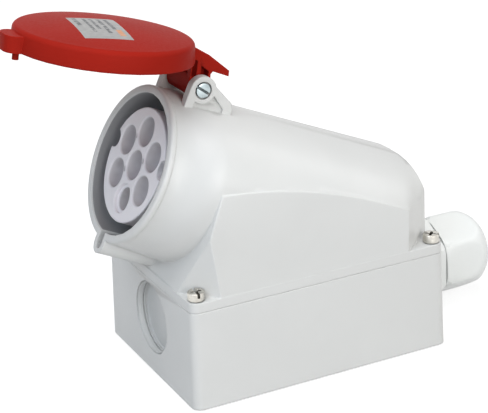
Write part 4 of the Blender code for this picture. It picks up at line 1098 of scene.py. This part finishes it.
@dataclass
class Lid:
    """The red lid with its seal, foil, pin and spring."""

    surfaces: Surfaces
    places: SocketFrame
    top: float = 0.01930
    sunk: float = 0.00012
    dome: float = 0.0024
    flat: float = 0.0327
    edge: float = 0.0020
    radius: float = 0.0353
    bottom: float = 0.0112
    skirt: float = 0.03292
    skirt_step: Tuple[float, float] = (0.0040, 0.0045)
    skirt_inside: float = 0.0341
    plate: float = 0.0182
    skin: float = 0.00004
    pocket: Tuple[float, float] = (0.0050, 0.0135)
    foil_size: Tuple[float, float] = (0.0315, 0.0186)
    foil_middle: Tuple[float, float] = (0.0040, -0.0040)
    foil_turn: float = math.radians(-7.6)
    apron_radii: Tuple[float, float] = (0.0042, 0.0048)
    apron_half: float = 0.0099
    ear: float = 0.0140
    pin_head: float = 0.0014
    pin_turn: float = math.radians(142.0)
    coil: Tuple[float, float, float] = (0.0031, 0.00045, 0.00375)

    def shell(self) -> None:
        """Lay a true round shell over the lid's disc and skirt.

        The height of the dome falls with the square of the radius. Where the nose holds the key's pocket, heights
        are not less than the pocket's roof.
        """
        radii = np.linspace(0.0, self.flat, 17)[:-1]
        dome = np.column_stack([radii, self.top + self.dome * (1.0 - (radii / self.flat) ** 2) + self.skin])
        foot = 0.0005
        profile = chain(
            dome, bend((self.flat, self.top - self.edge), self.edge + self.skin, 90, 0, 11),
            bend((self.radius + self.skin - foot, self.bottom + foot), foot, 0, -90, 5),
            [(self.skirt, self.bottom), (self.skirt, self.bottom + self.skirt_step[0])],
            [(self.skirt_inside, self.bottom + self.skirt_step[1]), (self.skirt_inside, self.plate), (0.0, self.plate)],
        )
        points = revolved(profile, 160)
        inside = (np.abs(points[..., 0]) < self.pocket[0]) & (points[..., 1] < 0.0)
        points[..., 2] = np.where(inside, np.maximum(points[..., 2], self.pocket[1]), points[..., 2])
        piece = self.surfaces.skin("lid_shell", [Patch(placed(points, self.places.disc()), caps=False)])
        self.surfaces.seat(piece, Finish.LID, "lid", "moulded_red")

    def sink_disc(self, piece: bpy.types.Object) -> None:
        """Lower the disc's faceted top, so that the round shell lies over it.

        Args:
            piece: The copied lid.
        """
        flat = placed(mesh_points(piece.data), self.places.disc().inverted())
        disc = (np.hypot(flat[:, 0], flat[:, 1]) < self.radius) & (flat[:, 2] > self.top - self.edge)
        flat[:, 2] -= np.where(disc, self.sunk, 0.0)
        move_points(piece.data, placed(flat, self.places.disc()))

    def foil(self) -> None:
        """Lay the foil on the dome: a rounded rectangle grid whose height follows the dome."""
        half_x, half_y = self.foil_size[0] / 2, self.foil_size[1] / 2
        u, v = np.meshgrid(np.linspace(-1, 1, 25), np.linspace(-1, 1, 21))
        x, y = u * half_x, v * half_y
        cos, sin = math.cos(self.foil_turn), math.sin(self.foil_turn)
        px, py = self.foil_middle[0] + x * cos - y * sin, self.foil_middle[1] + x * sin + y * cos
        lift = 0.00012 * (1.0 - np.maximum(np.abs(u), np.abs(v)) ** 12)
        height = self.top + self.dome * (1.0 - (np.hypot(px, py) / self.flat) ** 2) + self.skin
        points = np.stack([px, py, height + lift], axis=-1)
        piece = self.surfaces.skin("lid_foil", [Patch(placed(points, self.places.disc()), ring=False)])
        self.surfaces.seat(piece, Finish.FOIL, "lid", "moulded_red")

    def apron(self) -> None:
        """Close the neck's front over the spring: a wall that rounds down about the hinge axis.

        The section in (y, z) is two arcs about the axis, joined at the top by a taper into the neck's front.
        """
        inner, outer = self.apron_radii
        section = chain(
            bend((0.0, 0.0), outer, 222, 180, 9), [(-outer, 0.0030), (-inner + 0.0001, 0.0056)],
            bend((0.0, 0.0), inner, 180, 222, 9),
        )
        places = np.linspace(-self.apron_half, self.apron_half, 9)
        points = np.stack([np.column_stack([np.full(len(section), x), section]) for x in places])
        piece = self.surfaces.skin("lid_neck_apron", [Patch(placed(points, self.places.lid()))])
        self.surfaces.seat(piece, Finish.LID, "lid", "moulded_red")

    def pin(self) -> None:
        """Turn the slotted pin that runs through both ears."""
        length = 2 * self.ear - self.pin_head - 0.0003
        head = SlottedHead(0.0030, self.pin_head, 0.0020, length, 0.0010, 0.0001, soft=0.00028)
        place = Matrix.Translation(self.places.pin() + Vector((self.ear - self.pin_head, 0.0, 0.0)))
        place = place @ Matrix.Rotation(math.pi / 2, 4, "Y") @ Matrix.Rotation(self.pin_turn + math.pi / 2, 4, "Z")
        piece = self.surfaces.skin("hinge_pin_turned", head.patches(place), 32.0)
        self.surfaces.seat(piece, Finish.ZINC, "housing", "zinc_steel", ["hinge_pin"])

    def spring(self) -> None:
        """Wind the spring: a tube round a helix, x along the pin, y = R cos a, z = R sin a, six turns and a part."""
        radius, wire, reach = self.coil
        start, steps = math.radians(-100.0), 200
        end = start + math.tau * 6 + math.radians(150.0)
        turn = np.linspace(start, end, steps)
        along = reach * 2 * (np.linspace(0.0, 1.0, steps) - 0.5)
        path = np.column_stack([along, radius * np.cos(turn), radius * np.sin(turn)])
        first = np.array([0.0, math.sin(start), -math.cos(start)])
        last = np.array([0.0, -math.sin(end), math.cos(end)])
        path = np.concatenate([[path[0] + first * 0.0026], path, [path[-1] + last * 0.0016]])
        points = tube(path, np.full(len(path), wire))
        piece = self.surfaces.skin("lid_spring", [Patch(placed(points, Matrix.Translation(self.places.pin())))], 50.0)
        self.surfaces.seat(piece, Finish.NICKEL, "housing", "nickel_steel", ["torsion_spring"])

    def build(self) -> None:
        """Dress the lid and what rides with it."""
        lid = self.surfaces.copy_of("lid", "lid_moulding")
        self.sink_disc(lid)
        self.surfaces.seat(lid, Finish.LID, "lid", "moulded_red", ["lid"])
        self.surfaces.dress_node("lid_seal", "lid_seal_ring", Finish.RUBBER, "lid", "rubber_black")
        self.shell()
        self.foil()
        self.apron()
        self.pin()
        self.spring()


@dataclass
class Fasteners:
    """Cover screws, bushes and the insert's screws."""

    surfaces: Surfaces
    places: SocketFrame
    spots: Tuple[Tuple[float, float], ...] = ((1, -1), (1, 1), (-1, 1), (-1, -1))
    spot: Tuple[float, float] = (0.037848, 0.053348)
    seat: float = 0.0457
    depth: float = 0.0127

    def build(self) -> None:
        """Turn the cover screws with a slot and a cross, and dress the rest."""
        dress = self.surfaces.dress_node
        head = SlottedHead(0.0034, 0.0034, 0.0019, self.depth, 0.00112, 0.0015, 0.0021)
        for number, (side_x, side_y) in enumerate(self.spots, 1):
            place = Matrix.Translation((side_x * self.spot[0], side_y * self.spot[1], self.seat))
            place = place @ Matrix.Rotation(math.radians(35 + 50 * number + 90), 4, "Z")
            screw = self.surfaces.skin(f"cheese_screw_{number}", head.patches(place), 32.0)
            self.surfaces.seat(screw, Finish.NICKEL, "housing", "nickel_steel", [f"cover_screw_{number}"])
            dress(f"thread_insert_{number}", f"bush_{number}", Finish.BRASS, "housing", "brass")
        for number in range(1, 4):
            dress(f"insert_screw_{number}", f"holding_screw_{number}", Finish.ZINC, "housing", "zinc_steel")


@dataclass
class Gland:
    """The white cable gland in the rear wall."""

    surfaces: Surfaces
    places: SocketFrame
    corner: float = 0.0184
    start: float = 0.0762
    end: float = 0.1007
    mouth: float = 0.0090
    bore: float = 0.0080
    seal: float = 0.0110
    thread: float = 0.0128
    seal_seat: float = 0.0963
    nut_turn: float = 5.0

    def six_sided(self, dome: np.ndarray, turn: np.ndarray) -> np.ndarray:
        """Radius of a hexagon with soft corners that a dome rounds off.

        The hexagon is its flats' distance over the 40-norm of the six side cosines. The two radii join as the
        -60-norm, a soft form of the smaller one.

        Args:
            dome: The dome's radius in each row.
            turn: Angle of each column.

        Returns:
            Radius by row and column.
        """
        sides = np.cos(turn[None, :] - np.radians(60.0 * np.arange(6) - self.nut_turn)[:, None])
        hexed = self.corner * math.cos(math.pi / 6) / (np.maximum(sides, 1e-3) ** 40).sum(axis=0) ** (1 / 40)
        return (dome[:, None] ** -60 + hexed[None, :] ** -60) ** (-1 / 60)

    def nut(self) -> None:
        """Make the dome nut: soft flats, a quarter ellipse for its nose, and a hollow for the seal and the thread."""
        shoulder = self.start + (self.end - self.start) * 0.38
        swing = np.radians(np.linspace(0.0, 90.0, 28))
        nose_radius = self.mouth + (self.corner - self.mouth) * np.cos(swing)
        nose = np.column_stack([nose_radius, shoulder + (self.end - shoulder) * np.sin(swing)])
        outside = chain([(self.corner * 0.90, self.start), (self.corner, self.start + 0.0019)], nose)
        turn = np.linspace(0.0, math.tau, 180, endpoint=False)
        shell = swept(self.six_sided(outside[:, 0], turn), turn, outside[:, 1:2])
        inside = revolved(chain([
            (self.bore, self.end), (self.bore, self.seal_seat + 0.0008), (self.seal, self.seal_seat),
            (self.thread, self.seal_seat), (self.thread, self.start),
        ]), len(turn))
        points = np.concatenate([shell, inside, shell[:1]])
        piece = self.surfaces.skin("gland_nut_moulding", [Patch(placed(points, self.places.gland()), caps=False)], 34.0)
        self.surfaces.seat(piece, Finish.NYLON, "housing", "nylon_white", ["gland_nut"])

    def build(self) -> None:
        """Make the nut and dress the gland's other pieces."""
        self.nut()
        for node in ("gland_body", "gland_locknut"):
            self.surfaces.dress_node(node, node + "_moulding", Finish.NYLON, "housing", "nylon_white")
        for node in ("gland_washer", "gland_seal"):
            self.surfaces.dress_node(node, node + "_ring", Finish.RUBBER, "housing", "rubber_black")


# Studio


@dataclass
class Lamp:
    """One soft square lamp that faces the socket."""

    name: str
    place: Tuple[float, float, float]
    side: float
    power: float
    colour: Colour = (1.0, 1.0, 1.0)

    def build(self, target: Vector) -> None:
        """Hang the lamp.

        Args:
            target: The place that it faces.
        """
        data = bpy.data.lights.new(self.name, "AREA")
        data.shape = "SQUARE"
        data.size = self.side
        data.energy = self.power
        data.color = self.colour
        lamp = bpy.data.objects.new(self.name, data)
        lamp.location = self.place
        lamp.rotation_euler = (target - Vector(self.place)).to_track_quat("-Z", "Y").to_euler()
        bpy.context.scene.collection.objects.link(lamp)


@dataclass
class Studio:
    """Camera at the photograph's place, pale floor, plain world and soft lamps."""

    turn: float = math.radians(64.17)
    rise: float = math.radians(21.98)
    roll: float = math.radians(-2.46)
    place: Tuple[float, float, float] = (0.562467, -0.285190, 0.314604)
    focal: float = 1643.93 / 488.0 * 36.0
    dome: float = 0.24
    lamps: List[Lamp] = field(default_factory=lambda: [
        Lamp("key_lamp", (1.35, 0.06, 0.46), 0.9, 9.7, (1.0, 0.990, 0.965)),
        Lamp("top_lamp", (0.15, -0.30, 1.28), 0.8, 8.7),
        Lamp("back_lamp", (0.00, 1.10, 0.75), 0.5, 1.4),
        Lamp("front_lamp", (0.50, -0.95, 0.85), 0.6, 4.9, (0.76, 0.87, 1.0)),
    ])

    def camera(self) -> None:
        """Set the camera from its turn, rise and roll."""
        level = math.cos(self.rise)
        back = Vector((math.sin(self.turn) * level, -math.cos(self.turn) * level, math.sin(self.rise)))
        right = Vector((math.cos(self.turn), math.sin(self.turn), 0.0))
        up = back.cross(right)
        rolled_right = right * math.cos(self.roll) + up * math.sin(self.roll)
        rolled_up = up * math.cos(self.roll) - right * math.sin(self.roll)
        data = bpy.data.cameras.new("photo_camera")
        data.sensor_fit = "HORIZONTAL"
        data.sensor_width = 36.0
        data.lens = self.focal
        data.clip_start = 0.01
        camera = bpy.data.objects.new("photo_camera", data)
        axes = Matrix((rolled_right, rolled_up, back)).transposed().to_4x4()
        camera.matrix_world = Matrix.Translation(self.place) @ axes
        bpy.context.scene.collection.objects.link(camera)
        bpy.context.scene.camera = camera

    def floor(self) -> None:
        """A wide pale floor that keeps the socket's shadow."""
        size = 3.0
        mesh = bpy.data.meshes.new("floor")
        corners = [(-size, -size, 0.0), (size, -size, 0.0), (size, size, 0.0), (-size, size, 0.0)]
        mesh.from_pydata(corners, [], [(0, 1, 2, 3)])
        piece = bpy.data.objects.new("floor", mesh)
        piece.location = (0.0, 0.0, -0.0006)
        maker = MaterialMaker("pale_floor")
        glow = maker.seen() * 0.77
        mesh.materials.append(maker.dress(
            Base_Color=(0.45, 0.45, 0.45), Roughness=0.9, Specular_IOR_Level=0.1,
            Emission_Color=(1.0, 1.0, 1.0), Emission_Strength=0.0,
        ))
        emit = maker.node("ShaderNodeEmission", {}, {"Color": (1.0, 1.0, 1.0, 1.0), "Strength": glow})
        both = maker.node("ShaderNodeAddShader", {}, {0: maker.shader.outputs[0], 1: emit.outputs[0]})
        maker.tree.links.new(both.outputs[0], maker.output.inputs[0])
        bpy.context.scene.collection.objects.link(piece)

    def world(self) -> None:
        """White behind the socket for seen rays and a plain grey dome for the light."""
        world = bpy.data.worlds.new("studio_world")
        world.use_nodes = True
        maker = NodeMaker(world.node_tree)
        strength = maker.seen() * (1.0 - self.dome) + self.dome
        background = maker.node("ShaderNodeBackground", {}, {"Color": (1.0, 1.0, 1.0, 1.0), "Strength": strength})
        maker.node("ShaderNodeOutputWorld", {}, {0: background.outputs[0]})
        bpy.context.scene.world = world

    def build(self) -> None:
        """Set up the whole studio."""
        self.camera()
        self.floor()
        self.world()
        for lamp in self.lamps:
            lamp.build(Vector((0.0, 0.0, 0.06)))
        bpy.context.scene.view_settings.view_transform = "Standard"


def main() -> None:
    """Build the studio, then each sub-assembly."""
    logging.basicConfig(level=logging.INFO, format="%(message)s")
    places = SocketFrame()
    surfaces = Surfaces(FinishShelf())
    Studio().build()
    for assembly in (Housing, Contacts, Lid, Fasteners, Gland):
        assembly(surfaces, places).build()


if __name__ == "__main__":
    main()
